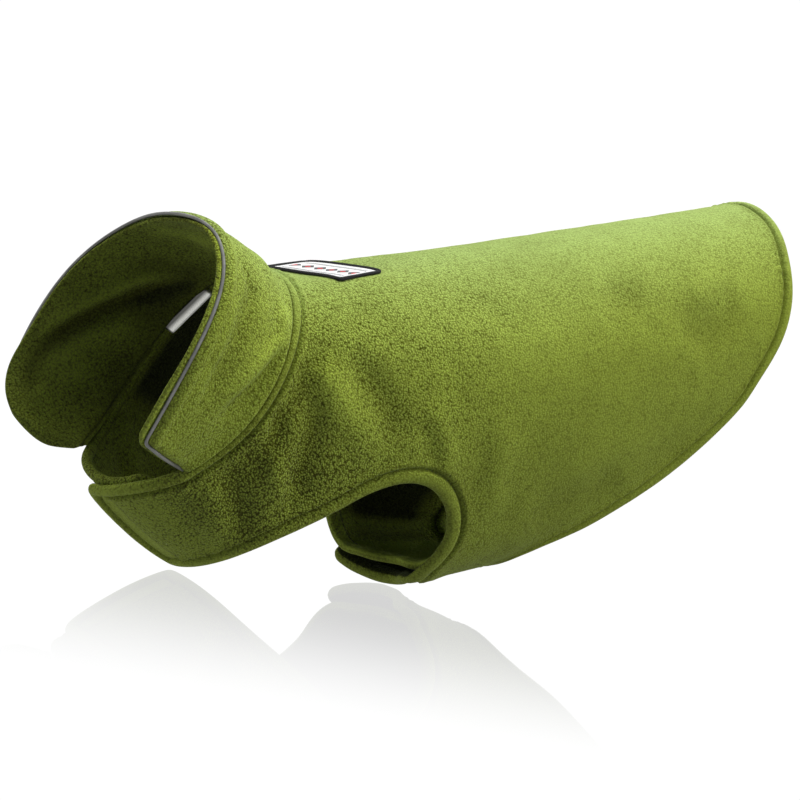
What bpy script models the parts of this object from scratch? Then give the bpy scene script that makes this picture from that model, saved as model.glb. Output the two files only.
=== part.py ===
"""A dog's winter coat of fleece, closed under the chest and the belly as if a dog wore it.

Lengths are in millimetres, and turned into metres where a mesh is made.
The origin is on the wearer's withers, inside the coat, in the middle of the neck seam.
+X runs along the back to the tail, +Z is up, and the coat's left side faces -Y.

A place on the body is given by its station, the distance along the back from the neck seam,
and by its turn, the angle round the body from the spine: 0 on the spine, -90 on the near flank (-Y),
+90 on the far flank (+Y) and 180 on the middle of the chest and the belly.
The near flaps lie over the far ones, so a flap's turn may pass 180.
"""

import math

import bpy
import numpy as np
from mathutils import Vector
from mathutils.geometry import delaunay_2d_cdt

METRES = 0.001

# Cloth and trim
FLEECE = 2.5            # thickness of the body's fleece
COLLAR_FLEECE = 2.4     # thickness of each of the collar's two layers
HEM_WIDTH = 9.0         # turned-in hem along every free edge
HEM_EXTRA = 1.8         # what the turned-in hem adds on the inside
GAP = 0.3               # between pieces that touch on the real coat
TAPE = 1.7              # touch-fastener tape, backing and pile
TAPE_PLAY = 0.6         # between the hook pile and the loop pile
PATCH = 0.6             # woven patch
PATCH_EDGE = 0.8        # overlocked edge of the patch
PIPING_RADIUS = 1.25
TAG_TAPE = 0.5          # satin of the folded neck tag

# The body's form: one row for each cross-section, which leans back from the spine
SECTIONS = (
    # station, spine x, spine z, lean, half width, depth, flatness of the back
    (0, 0, 0, 43, 64.0, 156, 0.20),
    (50, 49, -2, 33, 72.5, 190, 0.60),
    (130, 127, -1, 13, 79.5, 198, 0.30),
    (260, 257, 3, 0, 77.5, 185, 0.05),
    (400, 397, 8, -4, 65.5, 163, 0.00),
)
FLAT_TURN = 50          # how far round from the spine a flattened back reaches, degrees

# The cut, as station against turn, the same for both halves
NECK_EDGE = (
    # turn, station
    (0, 0), (30, 2.5), (60, 6.5), (90, 9.5), (110, 8), (130, 2.3), (145, -4), (160, -7), (180, -6.5),
    (220, -6),
)
CHEST_EDGE = (
    # turn, station: the chest flap's lower edge, from under the chest to the front leg
    (220, 50), (184, 50), (175, 49), (165, 49), (154, 50.5), (142, 54), (130, 62.5), (120, 73), (113, 81),
)
LEG_EDGE = (
    # step, turn, station: round the front leg's opening
    (0, 113, 81), (1, 109, 88), (2, 106.7, 96), (3, 106.5, 103), (4, 108.5, 111.5), (5, 112.5, 118.5),
    (6, 118, 124.5), (7, 124, 128.5), (8, 131, 131),
)
STRAP_FRONT_EDGE = (
    # turn, station: the belly strap's front edge
    (131, 131), (141, 130), (150, 129.5), (158, 130.5), (165, 133), (172, 137), (180, 141.5), (187, 140.5),
    (194, 137), (200, 133.5), (220, 130),
)
STRAP_REAR_EDGE = (
    # turn, station
    (220, 178), (200, 181), (190, 183), (178, 184), (165, 185.5), (155, 189.5), (150.5, 198),
)
BACK_EDGE = (
    # step, turn, station: the hem from the belly strap up to the tail
    (0, 150.5, 198), (1, 145, 219), (2, 138, 243), (3, 131, 270), (4, 122, 300), (5, 110.5, 330),
    (6, 101, 344.5), (7, 89.5, 363.5), (8, 77.5, 377.5), (9, 65, 387), (10, 50.5, 394), (11, 35, 401),
    (12, 18, 405), (13, 0, 407),
)
NEAR = {"side": -1, "chest_end": 190, "strap_end": 211}
FAR = {"side": 1, "chest_end": 213, "strap_end": 213}
FLAP_TAPER = 4          # how much less the chest flap's end reaches round at its lower edge, degrees
CHEST_CORNER = 7        # how much the chest flap's corner at the neck is cut off
STRAP_CORNER = 7        # radius of the strap's tip
CORNER_REACH = 5        # how far from a corner its rounding starts
MEAN_SCALE = 1.45       # millimetres a degree, over the whole body

# The near flaps rise over the far ones between these turns
LIFT_FROM = 110
LIFT_TO = 147
LIFT = FLEECE + GAP + TAPE + TAPE_PLAY + TAPE + GAP

# The collar stands on the neck edge. Its rim is measured from the origin in the neck's leaning frame.
COLLAR_NEAR_END = 131
COLLAR_FAR_END = 137
COLLAR_LEAN = 42
COLLAR_RIM = (
    # turn of the foot, forward, down, side
    (-131, 45.2, 140.6, -74.0),
    (-96, 55.7, 92.1, -82.2),
    (-64, 59.6, 44.0, -71.4),
    (-32, 66.2, 13.1, -40.6),
    (0, 71.0, 9.2, 0.4),
    (32, 67.1, 19.0, 41.2),
    (64, 63.9, 52.6, 72.8),
    (96, 57.0, 103.4, 82.5),
    (118, 48.0, 134.1, 77.7),
    (137, 35.0, 149.2, 64.0),
)
COLLAR_CROWN = 3.0      # how far the collar bows outward
COLLAR_CROWN_HIGH = 1.3 # above 1, the bow is fullest towards the rim
FACING_ROLL = 1.2       # how much the facing stands above the outer layer at the rim
NEAR_ROLL = 4.3         # how much more it does on the near side, where it rolls outward
FACING_FOOT = 1.0       # how far the facing's foot is above the seam

# The patch on the back: its middle, its size and its turn
PATCH_X = 50
PATCH_ALONG = 38
PATCH_ACROSS = 65
PATCH_SKEW = -8
PATCH_CORNER = 5
PATCH_EDGE_WIDTH = 3.2
PATCH_TURN = 27         # where its two ends lie, in degrees from the spine
PATCH_PRESS = 2.8       # how far it presses the fleece down at its middle
PATCH_LEVEL = 3.5       # how much less at its ends, because it is stiff and stays nearly flat
PATCH_TILT = 1.0        # how much more at its edge towards the neck

# Touch-fastener tapes, as (turn from, turn to, station from, station to) on their own flap
CHEST_HOOK = (-177, -160, 4, 40)
CHEST_LOOP = (172, 200, 4, 40)
BELLY_HOOK = (-199, -168, 152, 173)
BELLY_LOOP = (158, 200, 152, 173)

# The folded tag in the neck seam
TAG_FROM = 42
TAG_TO = 69
TAG_DEPTH = 5.5
TAG_BELOW_SEAM = 0.6
TAG_FOLD_RADIUS = 1.5

# Facets
MESH_ALONG = 18         # along the back
MESH_AROUND = 11        # round the body
EDGE_STEP = 9           # along the cut edges

COLOURS = {
    # object: (red, green, blue), roughness
    "olive fleece": ((0.26, 0.33, 0.06), 0.95),
    "grey piping": ((0.12, 0.12, 0.12), 0.6),
    "white twill": ((0.80, 0.80, 0.80), 0.8),
    "black thread": ((0.015, 0.015, 0.015), 0.7),
    "grey satin": ((0.45, 0.45, 0.43), 0.45),
    "black tape": ((0.012, 0.012, 0.012), 0.9),
}


# ---------------------------------------------------------------- curves and surfaces

def natural_spline(rows):
    """A smooth curve through rows, whose first column is the parameter, in rising order."""
    rows = np.array(rows, float)
    rows = rows[np.argsort(rows[:, 0])]
    at, value = rows[:, 0], rows[:, 1:]
    step = np.diff(at)
    system = np.eye(len(at))
    bend = np.zeros_like(value)
    for i in range(1, len(at) - 1):
        system[i, i - 1:i + 2] = step[i - 1], 2 * (step[i - 1] + step[i]), step[i]
        bend[i] = 6 * ((value[i + 1] - value[i]) / step[i] - (value[i] - value[i - 1]) / step[i - 1])
    bend = np.linalg.solve(system, bend)

    def curve(x):
        x = np.asarray(x, float)
        k = np.clip(np.searchsorted(at, x) - 1, 0, len(step) - 1)
        low, high, h = x - at[k], at[k + 1] - x, step[k]
        low, high, h = low[..., None], high[..., None], h[..., None]
        cubic = (bend[k] * high ** 3 + bend[k + 1] * low ** 3) / (6 * h)
        line = (value[k] / h - bend[k] * h / 6) * high + (value[k + 1] / h - bend[k + 1] * h / 6) * low
        return cubic + line

    return curve


def smoothstep(x, low, high):
    """0 below low, 1 above high, and a soft rise between them."""
    share = np.clip((x - low) / (high - low), 0, 1)
    return share * share * (3 - 2 * share)


section_at = natural_spline(SECTIONS)
neck_station = natural_spline(NECK_EDGE)
rim_at = natural_spline(COLLAR_RIM)


def form_point(station, turn):
    """The general form inside the coat, where its single wall's inner face lies."""
    row = section_at(station)
    spine_x, spine_z, lean, half_width, depth, flatness = (row[..., i] for i in range(6))
    turn = (np.asarray(turn, float) + 180) % 360 - 180
    angle = np.radians(turn)
    lean = np.radians(lean)
    flattened = 1 - flatness * np.exp(-(turn / FLAT_TURN) ** 2)
    down = depth * (1 - np.cos(angle)) / 2 * flattened
    x = spine_x - down * np.sin(lean)
    z = spine_z - down * np.cos(lean)
    return np.stack([x, half_width * np.sin(angle), z], -1)


def unit(vectors):
    return vectors / np.linalg.norm(vectors, axis=-1, keepdims=True)


def form_normal(station, turn):
    """The form's outward direction."""
    station, turn = np.asarray(station, float), np.asarray(turn, float)
    along = form_point(station + 0.5, turn) - form_point(station - 0.5, turn)
    around = form_point(station, turn + 0.5) - form_point(station, turn - 0.5)
    return unit(np.cross(along, around))


def flap_lift(turn):
    """How far the near flaps' inner face stands off the form, to pass over the far flaps."""
    near = np.asarray(turn, float) < 0
    return np.where(near, LIFT * smoothstep(-np.asarray(turn, float), LIFT_FROM, LIFT_TO), 0.0)


def patch_press(station, turn):
    """How far the cloth under the patch stands off the form: below it in the middle, above it at the ends."""
    station, turn = np.asarray(station, float), np.abs(np.asarray(turn, float))
    to_neck = np.clip((PATCH_X - station) / (PATCH_ALONG / 2), -1.2, 1.6)
    level = (PATCH_LEVEL + 0.7 * to_neck) * np.minimum(turn / PATCH_TURN, 1) ** 2
    across = 1 - smoothstep(turn, PATCH_TURN, 2 * PATCH_TURN)
    along = 1 - smoothstep(np.abs(station - PATCH_X), 20, 44)
    return (level - PATCH_PRESS - PATCH_TILT * to_neck) * across * along


def cloth_point(station, turn, out):
    """A point of the body's cloth, out from its inner face."""
    stand_off = np.asarray(out, float) + flap_lift(turn) + patch_press(station, turn)
    return form_point(station, turn) + form_normal(station, turn) * stand_off[..., None]


def collar_base(turn):
    """The collar's foot on its outer face, a gap above the body's neck edge."""
    turn = np.asarray(turn, float)
    return cloth_point(neck_station(np.abs(turn))[..., 0], turn, np.full(turn.shape, FLEECE))


def collar_rim(turn):
    """The rim of the collar's outer face."""
    forward, down, side = (rim_at(turn)[..., i] for i in range(3))
    lean = math.radians(COLLAR_LEAN)
    x = -forward * math.cos(lean) - down * math.sin(lean)
    z = forward * math.sin(lean) - down * math.cos(lean)
    return np.stack([x, side, z], -1)


def collar_face(turn, height):
    """The collar's outer face. Height is in millimetres above the seam."""
    turn = np.asarray(turn, float)
    height = np.asarray(height, float)
    foot, rim = collar_base(turn), collar_rim(turn)
    full = np.linalg.norm(rim - foot, axis=-1)
    up = (rim - foot) / full[..., None]
    around = unit(collar_rim(turn + 1) + collar_base(turn + 1) - collar_rim(turn - 1) - collar_base(turn - 1))
    outward = unit(np.cross(around, up))
    share = np.sign(height) * np.abs(height / full) ** COLLAR_CROWN_HIGH
    bow = COLLAR_CROWN * np.sin(np.pi * share)
    return foot + up * height[..., None] + outward * bow[..., None]


def collar_height(turn):
    return np.linalg.norm(collar_rim(turn) - collar_base(turn), axis=-1)


def collar_point(turn, height, inside):
    """A point of the collar, inside millimetres in from its outer face."""
    turn, height = np.asarray(turn, float), np.asarray(height, float)
    around = collar_face(turn + 0.5, height) - collar_face(turn - 0.5, height)
    up = collar_face(turn, height + 0.5) - collar_face(turn, height - 0.5)
    outward = unit(np.cross(around, up))
    return collar_face(turn, height) - outward * np.asarray(inside, float)[..., None]


# ---------------------------------------------------------------- the flat cut

def around_scale(station, turn):
    """Millimetres of cloth for one degree round the body."""
    turn = np.asarray(turn, float)
    return np.linalg.norm(form_point(station, turn + 0.5) - form_point(station, turn - 0.5), axis=-1)


def edge_between(rows, start, stop, count=60):
    """Points (station, turn) of an edge given as station against turn."""
    turns = np.linspace(start, stop, count)
    return np.stack([natural_spline(rows)(turns)[:, 0], turns], -1)


def edge_by_step(rows, count=120):
    """Points (station, turn) of an edge given by numbered steps."""
    steps = np.linspace(0, len(rows) - 1, count)
    turn_station = natural_spline(rows)(steps)
    return turn_station[:, ::-1]


def chest_flap_end(end):
    """Points down the end of a chest flap, which tapers a little, from below its cut-off corner."""
    top, foot = end, end - FLAP_TAPER
    top_station = neck_station(top)[0]
    share = np.linspace(CHEST_CORNER / 56, 1, 12)
    foot_station = natural_spline(CHEST_EDGE)(foot)[0]
    stations = top_station + (foot_station - top_station) * share
    return np.stack([stations, top + (foot - top) * share], -1)


def strap_tip(end):
    """Points down the rounded end of a belly strap."""
    front = natural_spline(STRAP_FRONT_EDGE)(end)[0]
    rear = natural_spline(STRAP_REAR_EDGE)(end)[0]
    scale = around_scale((front + rear) / 2, end)
    angles = np.linspace(0, math.pi / 2, 7)
    round_off, reach = STRAP_CORNER * (1 - np.cos(angles)), STRAP_CORNER * (1 - np.sin(angles))
    front_corner = np.stack([front + round_off, end - reach / scale], -1)
    rear_corner = np.stack([rear - reach, end - round_off / scale], -1)
    return np.concatenate([front_corner, rear_corner]), end - STRAP_CORNER / scale


def half_outline(side, chest_end, strap_end):
    """One half of the body's cut, from the neck's middle round the flaps to the tail."""
    tip, corner_turn = strap_tip(strap_end)
    stretches = [
        edge_between(NECK_EDGE, 0, chest_end - CHEST_CORNER / MEAN_SCALE),
        chest_flap_end(chest_end),
        edge_between(CHEST_EDGE, chest_end - FLAP_TAPER, 113),
        edge_by_step(LEG_EDGE),
        edge_between(STRAP_FRONT_EDGE, 131, corner_turn),
        tip,
        edge_between(STRAP_REAR_EDGE, corner_turn, 150.5),
        edge_by_step(BACK_EDGE),
    ]
    points = np.concatenate(stretches)
    points[:, 1] *= side
    return points


def to_flat(points):
    """(station, turn) as millimetres in the plane in which distances are measured and facets are cut."""
    points = np.asarray(points, float)
    return np.stack([points[:, 0], points[:, 1] * MEAN_SCALE], -1)


def from_flat(points):
    points = np.asarray(points, float)
    return np.stack([points[:, 0], points[:, 1] / MEAN_SCALE], -1)


def resample(loop, step):
    """The closed loop again with points an even step apart."""
    closed = np.concatenate([loop, loop[:1]])
    length = np.concatenate([[0], np.cumsum(np.linalg.norm(np.diff(closed, axis=0), axis=1))])
    count = round(length[-1] / step)
    at = np.arange(count) * length[-1] / count
    return np.stack([np.interp(at, length, closed[:, i]) for i in range(2)], -1)


def soften_corners(loop, reach):
    """The closed loop, 1 mm a point, with its corners rounded by averaging over the reach."""
    fine = resample(loop, 1.0)
    shifted = [np.roll(fine, k, axis=0) for k in range(-reach, reach + 1)]
    return np.mean(shifted, axis=0)


def inset(loop, distance, step):
    """The loop moved inward by a real distance on the cloth, where it keeps that distance from the whole loop."""
    fine = resample(loop, 2.0)
    station, turn = from_flat(fine).T
    place = form_point(station, turn)
    tangent = unit(np.roll(place, -2, axis=0) - np.roll(place, 2, axis=0))
    inward = np.cross(form_normal(station, turn), tangent) * np.sign(signed_area(fine))
    along = form_point(station + 0.5, turn) - form_point(station - 0.5, turn)
    around = form_point(station, turn + 0.5) - form_point(station, turn - 0.5)
    frames = np.stack([along, around], -1)
    steps = np.array([np.linalg.lstsq(f, way * distance, rcond=None)[0] for f, way in zip(frames, inward)])
    moved = np.stack([station, turn], -1) + steps
    moved_place = form_point(*moved.T)
    clear = []
    for (_, its_turn), its_place in zip(moved, moved_place):
        nearby = np.abs(turn - its_turn) < 90
        clear.append(np.min(np.linalg.norm(place[nearby] - its_place, axis=1)) > 0.93 * distance)
    return resample(to_flat(moved[np.array(clear)]), step)


def signed_area(loop):
    x, y = loop[:, 0], loop[:, 1]
    return float(np.sum(x * np.roll(y, -1) - np.roll(x, -1) * y) / 2)


def is_inside(points, loop):
    """Whether each point lies inside the closed loop, by counting crossings."""
    x, y = np.asarray(points, float).T
    inside = np.zeros(len(x), bool)
    for (x0, y0), (x1, y1) in zip(loop, np.roll(loop, -1, axis=0)):
        if y0 == y1:
            continue
        crosses = ((y0 > y) != (y1 > y)) & (x < (x1 - x0) * (y - y0) / (y1 - y0) + x0)
        inside ^= crosses
    return inside


def rounded_rectangle(along, across, corner):
    """A closed outline round the origin, with four quarter arcs."""
    points = []
    for quarter in range(4):
        sign_x, sign_y = ((1, 1), (-1, 1), (-1, -1), (1, -1))[quarter]
        centre = np.array([sign_x * (along / 2 - corner), sign_y * (across / 2 - corner)])
        for angle in np.linspace(quarter * 90, quarter * 90 + 90, 4):
            radians = math.radians(angle)
            points.append(centre + corner * np.array([math.cos(radians), math.sin(radians)]))
    return np.array(points)


def patch_outline(margin):
    """The patch's outline on the back, margin in from its edge, in the flat plane."""
    shape = rounded_rectangle(PATCH_ALONG - 2 * margin, PATCH_ACROSS - 2 * margin, PATCH_CORNER - margin)
    skew = math.radians(PATCH_SKEW)
    x = PATCH_X + shape[:, 0] * math.cos(skew) + shape[:, 1] * math.sin(skew)
    y = -shape[:, 0] * math.sin(skew) + shape[:, 1] * math.cos(skew)
    half_width = section_at(x)[:, 3]
    turn = np.degrees(np.arcsin(y / half_width))
    return resample(to_flat(np.stack([x + 1, turn], -1)), 5)


def tape_outline(turn_from, turn_to, station_from, station_to):
    """A tape's rectangle in the flat plane."""
    near, far = (station_from, turn_from), (station_to, turn_to)
    corners = [near, (station_to, turn_from), far, (station_from, turn_to)]
    return resample(to_flat(corners), EDGE_STEP)


def cut_facets(outline, lines):
    """Triangles that fill the outline and follow the given closed lines."""
    squeeze = np.array([MESH_AROUND / MESH_ALONG, 1.0])
    loops = [outline * squeeze] + [line * squeeze for line in lines]
    fixed = np.concatenate(loops)
    edges, start = [], 0
    for loop in loops:
        edges += [(start + i, start + (i + 1) % len(loop)) for i in range(len(loop))]
        start += len(loop)
    low, high = loops[0].min(0), loops[0].max(0)
    filling = []
    row_height = MESH_AROUND * math.sqrt(3) / 2
    for row in range(int((high[1] - low[1]) / row_height) + 1):
        shift = MESH_AROUND / 2 * (row % 2)
        xs = np.arange(low[0] + shift, high[0], MESH_AROUND)
        filling += [(x, low[1] + row * row_height) for x in xs]
    filling = np.array(filling)
    filling = filling[is_inside(filling, loops[0])]
    dense = np.concatenate([resample(loop, 2.0) for loop in loops])
    room = np.array([np.min(np.linalg.norm(dense - point, axis=1)) for point in filling])
    filling = filling[room > 0.55 * MESH_AROUND]
    points = [Vector(p) for p in np.concatenate([fixed, filling])]
    flat, _, faces, *_ = delaunay_2d_cdt(points, edges, [], 0, 1e-4)
    flat = np.array([tuple(p) for p in flat])
    faces = np.array([tuple(f) for f in faces])
    middles = flat[faces].mean(1)
    faces = faces[is_inside(middles, loops[0])]
    return flat / squeeze, faces


def facets_within(flat, faces, outer, inner=None):
    """The triangles inside the outer line and, if given, outside the inner one."""
    middles = flat[faces].mean(1)
    chosen = is_inside(middles, outer)
    if inner is not None:
        chosen &= ~is_inside(middles, inner)
    return faces[chosen]


# ---------------------------------------------------------------- solids

def material(name):
    """A plain finish with the piece's own colour."""
    made = bpy.data.materials.get(name)
    if made is None:
        colour, roughness = COLOURS[name]
        made = bpy.data.materials.new(name)
        made.use_nodes = True
        shader = made.node_tree.nodes["Principled BSDF"]
        shader.inputs["Base Color"].default_value = (*colour, 1)
        shader.inputs["Roughness"].default_value = roughness
        shader.inputs["Metallic"].default_value = 0.0
    return made


def add_object(name, data, finish):
    piece = bpy.data.objects.new(name, data)
    piece.data.materials.append(material(finish))
    bpy.context.scene.collection.objects.link(piece)
    return piece


def mesh_object(name, points, faces, finish):
    """An object from points in millimetres."""
    mesh = bpy.data.meshes.new(name)
    places = np.asarray(points) * METRES
    mesh.from_pydata(places.tolist(), [], [tuple(map(int, face)) for face in faces])
    mesh.validate()
    mesh.shade_smooth()
    mesh.set_sharp_from_angle(angle=math.radians(40))
    return add_object(name, mesh, finish)


def wall_solid(name, faces, low_points, high_points, finish):
    """A wall between two layers of the same triangles, closed round its edges. High is the outer layer."""
    used = np.unique(faces)
    place = {int(v): i for i, v in enumerate(used)}
    faces = [[place[int(v)] for v in face] for face in faces]
    low_points, high_points = low_points[used], high_points[used]
    corner = high_points[faces[0]]
    facing = np.cross(corner[1] - corner[0], corner[2] - corner[0])
    if facing @ (high_points[faces[0][0]] - low_points[faces[0][0]]) < 0:
        faces = [face[::-1] for face in faces]
    count = len(used)
    directed = {(face[i], face[(i + 1) % 3]) for face in faces for i in range(3)}
    rims = sorted((a, b) for a, b in directed if (b, a) not in directed)
    solid = [list(face) for face in faces]
    solid = [[v + count for v in face] for face in solid]
    solid += [face[::-1] for face in faces]
    for a, b in rims:
        solid += [[a, b, b + count], [a, b + count, a + count]]
    return mesh_object(name, np.concatenate([low_points, high_points]), solid, finish)


def grid_facets(rows, columns):
    """Triangles over a grid of points, row after row."""
    faces = []
    for r in range(rows - 1):
        for c in range(columns - 1):
            a, b = r * columns + c, r * columns + c + 1
            faces += [(a, b, b + columns), (a, b + columns, a + columns)]
    return np.array(faces)


# ---------------------------------------------------------------- the pieces

def body_facets():
    """The body's cut in the flat plane, with the lines of all that is sewn on it."""
    near, far = half_outline(**NEAR), half_outline(**FAR)
    loop = to_flat(np.concatenate([near, far[::-1]]))
    outline = resample(soften_corners(loop, CORNER_REACH), EDGE_STEP)
    lines = {
        "hem": inset(outline, HEM_WIDTH, EDGE_STEP),
        "patch": patch_outline(0),
        "patch_field": patch_outline(PATCH_EDGE_WIDTH),
        "chest_hook": tape_outline(*CHEST_HOOK),
        "chest_loop": tape_outline(*CHEST_LOOP),
        "belly_hook": tape_outline(*BELLY_HOOK),
        "belly_loop": tape_outline(*BELLY_LOOP),
    }
    flat, faces = cut_facets(outline, list(lines.values()))
    return flat, faces, lines


def points_out(flat, out):
    """The flat points on the body, out from the cloth's inner face."""
    station, turn = from_flat(flat).T
    return cloth_point(station, turn, np.broadcast_to(np.asarray(out, float), station.shape))


def hem_thickening(flat, hem_line):
    """Full from the hem's inner line to the edge, and nothing further in or along the collar's seam."""
    station, turn = from_flat(flat).T
    past_line = ~is_inside(flat, hem_line)
    on_line = np.array([np.min(np.linalg.norm(hem_line - point, axis=1)) < 0.1 for point in flat])
    at_collar = (turn > -COLLAR_NEAR_END) & (turn < COLLAR_FAR_END)
    at_collar &= station < neck_station(np.abs(turn))[:, 0] + HEM_WIDTH + 3
    return HEM_EXTRA * ((past_line | on_line) & ~at_collar)


def make_body(flat, faces, lines):
    inner = points_out(flat, -hem_thickening(flat, lines["hem"]))
    outer = points_out(flat, FLEECE)
    return wall_solid("body_panel", faces, inner, outer, "olive fleece")


def make_patch(flat, faces, lines):
    """The woven patch and, on its rim, the overlocked edge."""
    low = FLEECE + GAP
    field = facets_within(flat, faces, lines["patch"])
    wall_solid("back_patch", field, points_out(flat, low), points_out(flat, low + PATCH), "white twill")
    low += PATCH + GAP
    high = low + PATCH_EDGE
    rim = facets_within(flat, faces, lines["patch"], lines["patch_field"])
    wall_solid("back_patch_border", rim, points_out(flat, low), points_out(flat, high), "black thread")


def make_tapes(flat, faces, lines):
    """Hook tape inside the near flaps and loop tape outside the far ones."""
    for kind, low in (("loop", FLEECE + GAP), ("hook", -GAP - TAPE)):
        under, over = points_out(flat, low), points_out(flat, low + TAPE)
        for place in ("chest", "belly"):
            its_faces = facets_within(flat, faces, lines[f"{place}_{kind}"])
            wall_solid(f"{place}_{kind}_tape", its_faces, under, over, "black tape")


def facing_roll(turn):
    """How far the facing stands above the rim of the outer layer."""
    return FACING_ROLL + NEAR_ROLL * smoothstep(-turn, 0, 60)


def collar_layer(name, foot, roll, outer_depth, inner_depth):
    """One layer of the collar between two depths in from the outer face, with its roll above the rim."""
    rows, columns = 7, 41
    turns = np.linspace(-COLLAR_NEAR_END, COLLAR_FAR_END, columns)
    shares = np.linspace(0, 1, rows)[:, None]
    heights = foot + (collar_height(turns) + roll(turns) - foot) * shares
    heights = heights.ravel()
    all_turns = np.tile(turns, rows)
    depth = np.ones(rows * columns)
    outer = collar_point(all_turns, heights, depth * outer_depth)
    inner = collar_point(all_turns, heights, depth * inner_depth)
    return wall_solid(name, grid_facets(rows, columns), inner, outer, "olive fleece")


def make_collar():
    """The outer layer, and the facing that hides the neck seam and rolls up at the rim."""
    collar_layer("collar", GAP, np.zeros_like, 0, COLLAR_FLEECE)
    low = COLLAR_FLEECE + GAP
    collar_layer("collar_facing", FACING_FOOT, facing_roll, low, low + COLLAR_FLEECE)


def piping_end(end, way):
    """The cord's middle line up one short end of the collar and round its corner."""
    clear = PIPING_RADIUS + GAP
    full = float(collar_height(end))
    rise = np.linspace(PIPING_RADIUS + 0.5, full - 2, 9)
    corner = np.radians(np.linspace(0, 90, 6))
    heights = np.concatenate([rise, full + clear * np.sin(corner)])
    away = np.concatenate([np.ones(len(rise)), np.cos(corner)]) * clear
    degree = np.linalg.norm(collar_face(end + 0.5, heights) - collar_face(end - 0.5, heights), axis=-1)
    return collar_point(end + way * away / degree, heights, np.full(len(heights), PIPING_RADIUS))


def make_piping():
    """A corded edge along the collar's rim and both its short ends."""
    turns = np.linspace(-COLLAR_NEAR_END + 2, COLLAR_FAR_END - 2, 60)
    rim = collar_point(turns, collar_height(turns) + PIPING_RADIUS + GAP, np.full(60, PIPING_RADIUS))
    route = [piping_end(-COLLAR_NEAR_END, -1), rim, piping_end(COLLAR_FAR_END, 1)[::-1]]
    points = np.concatenate(route) * METRES
    line = bpy.data.curves.new("collar_piping", "CURVE")
    line.dimensions = "3D"
    line.bevel_depth = PIPING_RADIUS * METRES
    line.bevel_resolution = 1
    line.use_fill_caps = True
    spline = line.splines.new("POLY")
    spline.points.add(len(points) - 1)
    for point, place in zip(spline.points, points):
        point.co = (*place, 1)
    return add_object("collar_piping", line, "grey piping")


def tag_profile():
    """The folded tag's section, as (inward, towards the collar) points: out, round the fold and back."""
    straight = TAG_DEPTH - TAG_FOLD_RADIUS
    section = []
    for radius, order in ((TAG_FOLD_RADIUS, 1), (TAG_FOLD_RADIUS - TAG_TAPE, -1)):
        angles = np.linspace(math.pi / 2, -math.pi / 2, 7)
        arc = [(straight + radius * math.cos(t), radius * math.sin(t)) for t in angles]
        leaf = [(GAP, radius), *arc, (GAP, -radius)]
        section += leaf[::order]
    return np.array(section)


def make_tag():
    """A folded satin tag that stands inward from the neck seam."""
    section = tag_profile()
    turns = np.linspace(TAG_FROM, TAG_TO, 8)
    stations = neck_station(turns)[:, 0] + TAG_FOLD_RADIUS + TAG_BELOW_SEAM
    root = form_point(stations, turns)
    inward = -form_normal(stations, turns)
    to_collar = unit(form_point(stations - 1, turns) - root)
    points = root[:, None] + inward[:, None] * section[:, :1] + to_collar[:, None] * section[:, 1:]
    ring = len(section)
    faces = []
    for s in range(len(turns) - 1):
        for i in range(ring):
            a, b = s * ring + i, s * ring + (i + 1) % ring
            faces.append((a, a + ring, b + ring, b))
    last = (len(turns) - 1) * ring
    faces.append(tuple(range(ring)))
    faces.append(tuple(last + i for i in range(ring))[::-1])
    return mesh_object("neck_tag", points.reshape(-1, 3), faces, "grey satin")


def main():
    for old in list(bpy.data.objects):
        bpy.data.objects.remove(old)
    flat, faces, lines = body_facets()
    make_body(flat, faces, lines)
    make_patch(flat, faces, lines)
    make_tapes(flat, faces, lines)
    make_collar()
    make_piping()
    make_tag()
    bpy.context.view_layer.update()
    for piece in bpy.context.scene.objects:
        print(piece.name, [round(side / METRES, 1) for side in piece.dimensions])


main()
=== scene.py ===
# %% [markdown]
# # A dog's winter coat of fleece
# The coat is shown filled out, as if a dog wore it: a long back, a stand-up collar with corded piping,
# a chest flap and a belly strap that close under the body with touch fastener, and a woven patch on the back.
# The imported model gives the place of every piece. This lesson dresses it: thick soft fleece with turned hems,
# stitched grooves and folds, and the pile, cord, thread and tape that a plain solid can't show.

import math

import bpy
import numpy as np
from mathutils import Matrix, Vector, noise
from mathutils.geometry import delaunay_2d_cdt
from mathutils.kdtree import KDTree


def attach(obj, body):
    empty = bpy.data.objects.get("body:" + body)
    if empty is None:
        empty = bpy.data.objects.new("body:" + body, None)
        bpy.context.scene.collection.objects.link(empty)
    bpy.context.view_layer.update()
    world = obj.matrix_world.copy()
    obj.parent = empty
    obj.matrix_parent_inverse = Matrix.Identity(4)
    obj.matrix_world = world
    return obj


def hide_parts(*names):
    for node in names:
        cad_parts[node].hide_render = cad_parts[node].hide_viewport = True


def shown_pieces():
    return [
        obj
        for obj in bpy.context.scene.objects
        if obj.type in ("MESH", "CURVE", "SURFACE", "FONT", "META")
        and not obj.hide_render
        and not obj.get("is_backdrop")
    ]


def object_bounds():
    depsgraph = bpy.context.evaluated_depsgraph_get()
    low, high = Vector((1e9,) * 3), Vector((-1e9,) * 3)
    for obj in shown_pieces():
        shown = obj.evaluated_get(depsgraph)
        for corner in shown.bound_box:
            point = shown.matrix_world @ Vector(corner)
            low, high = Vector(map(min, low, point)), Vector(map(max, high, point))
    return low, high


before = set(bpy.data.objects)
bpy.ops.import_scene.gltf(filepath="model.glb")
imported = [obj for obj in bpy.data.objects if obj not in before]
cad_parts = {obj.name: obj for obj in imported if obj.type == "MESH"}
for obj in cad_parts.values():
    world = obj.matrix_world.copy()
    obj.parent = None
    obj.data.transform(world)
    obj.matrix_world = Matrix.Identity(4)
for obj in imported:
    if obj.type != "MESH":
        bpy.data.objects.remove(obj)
cad_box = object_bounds()
print("CAD nodes:", sorted(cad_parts))

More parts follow.
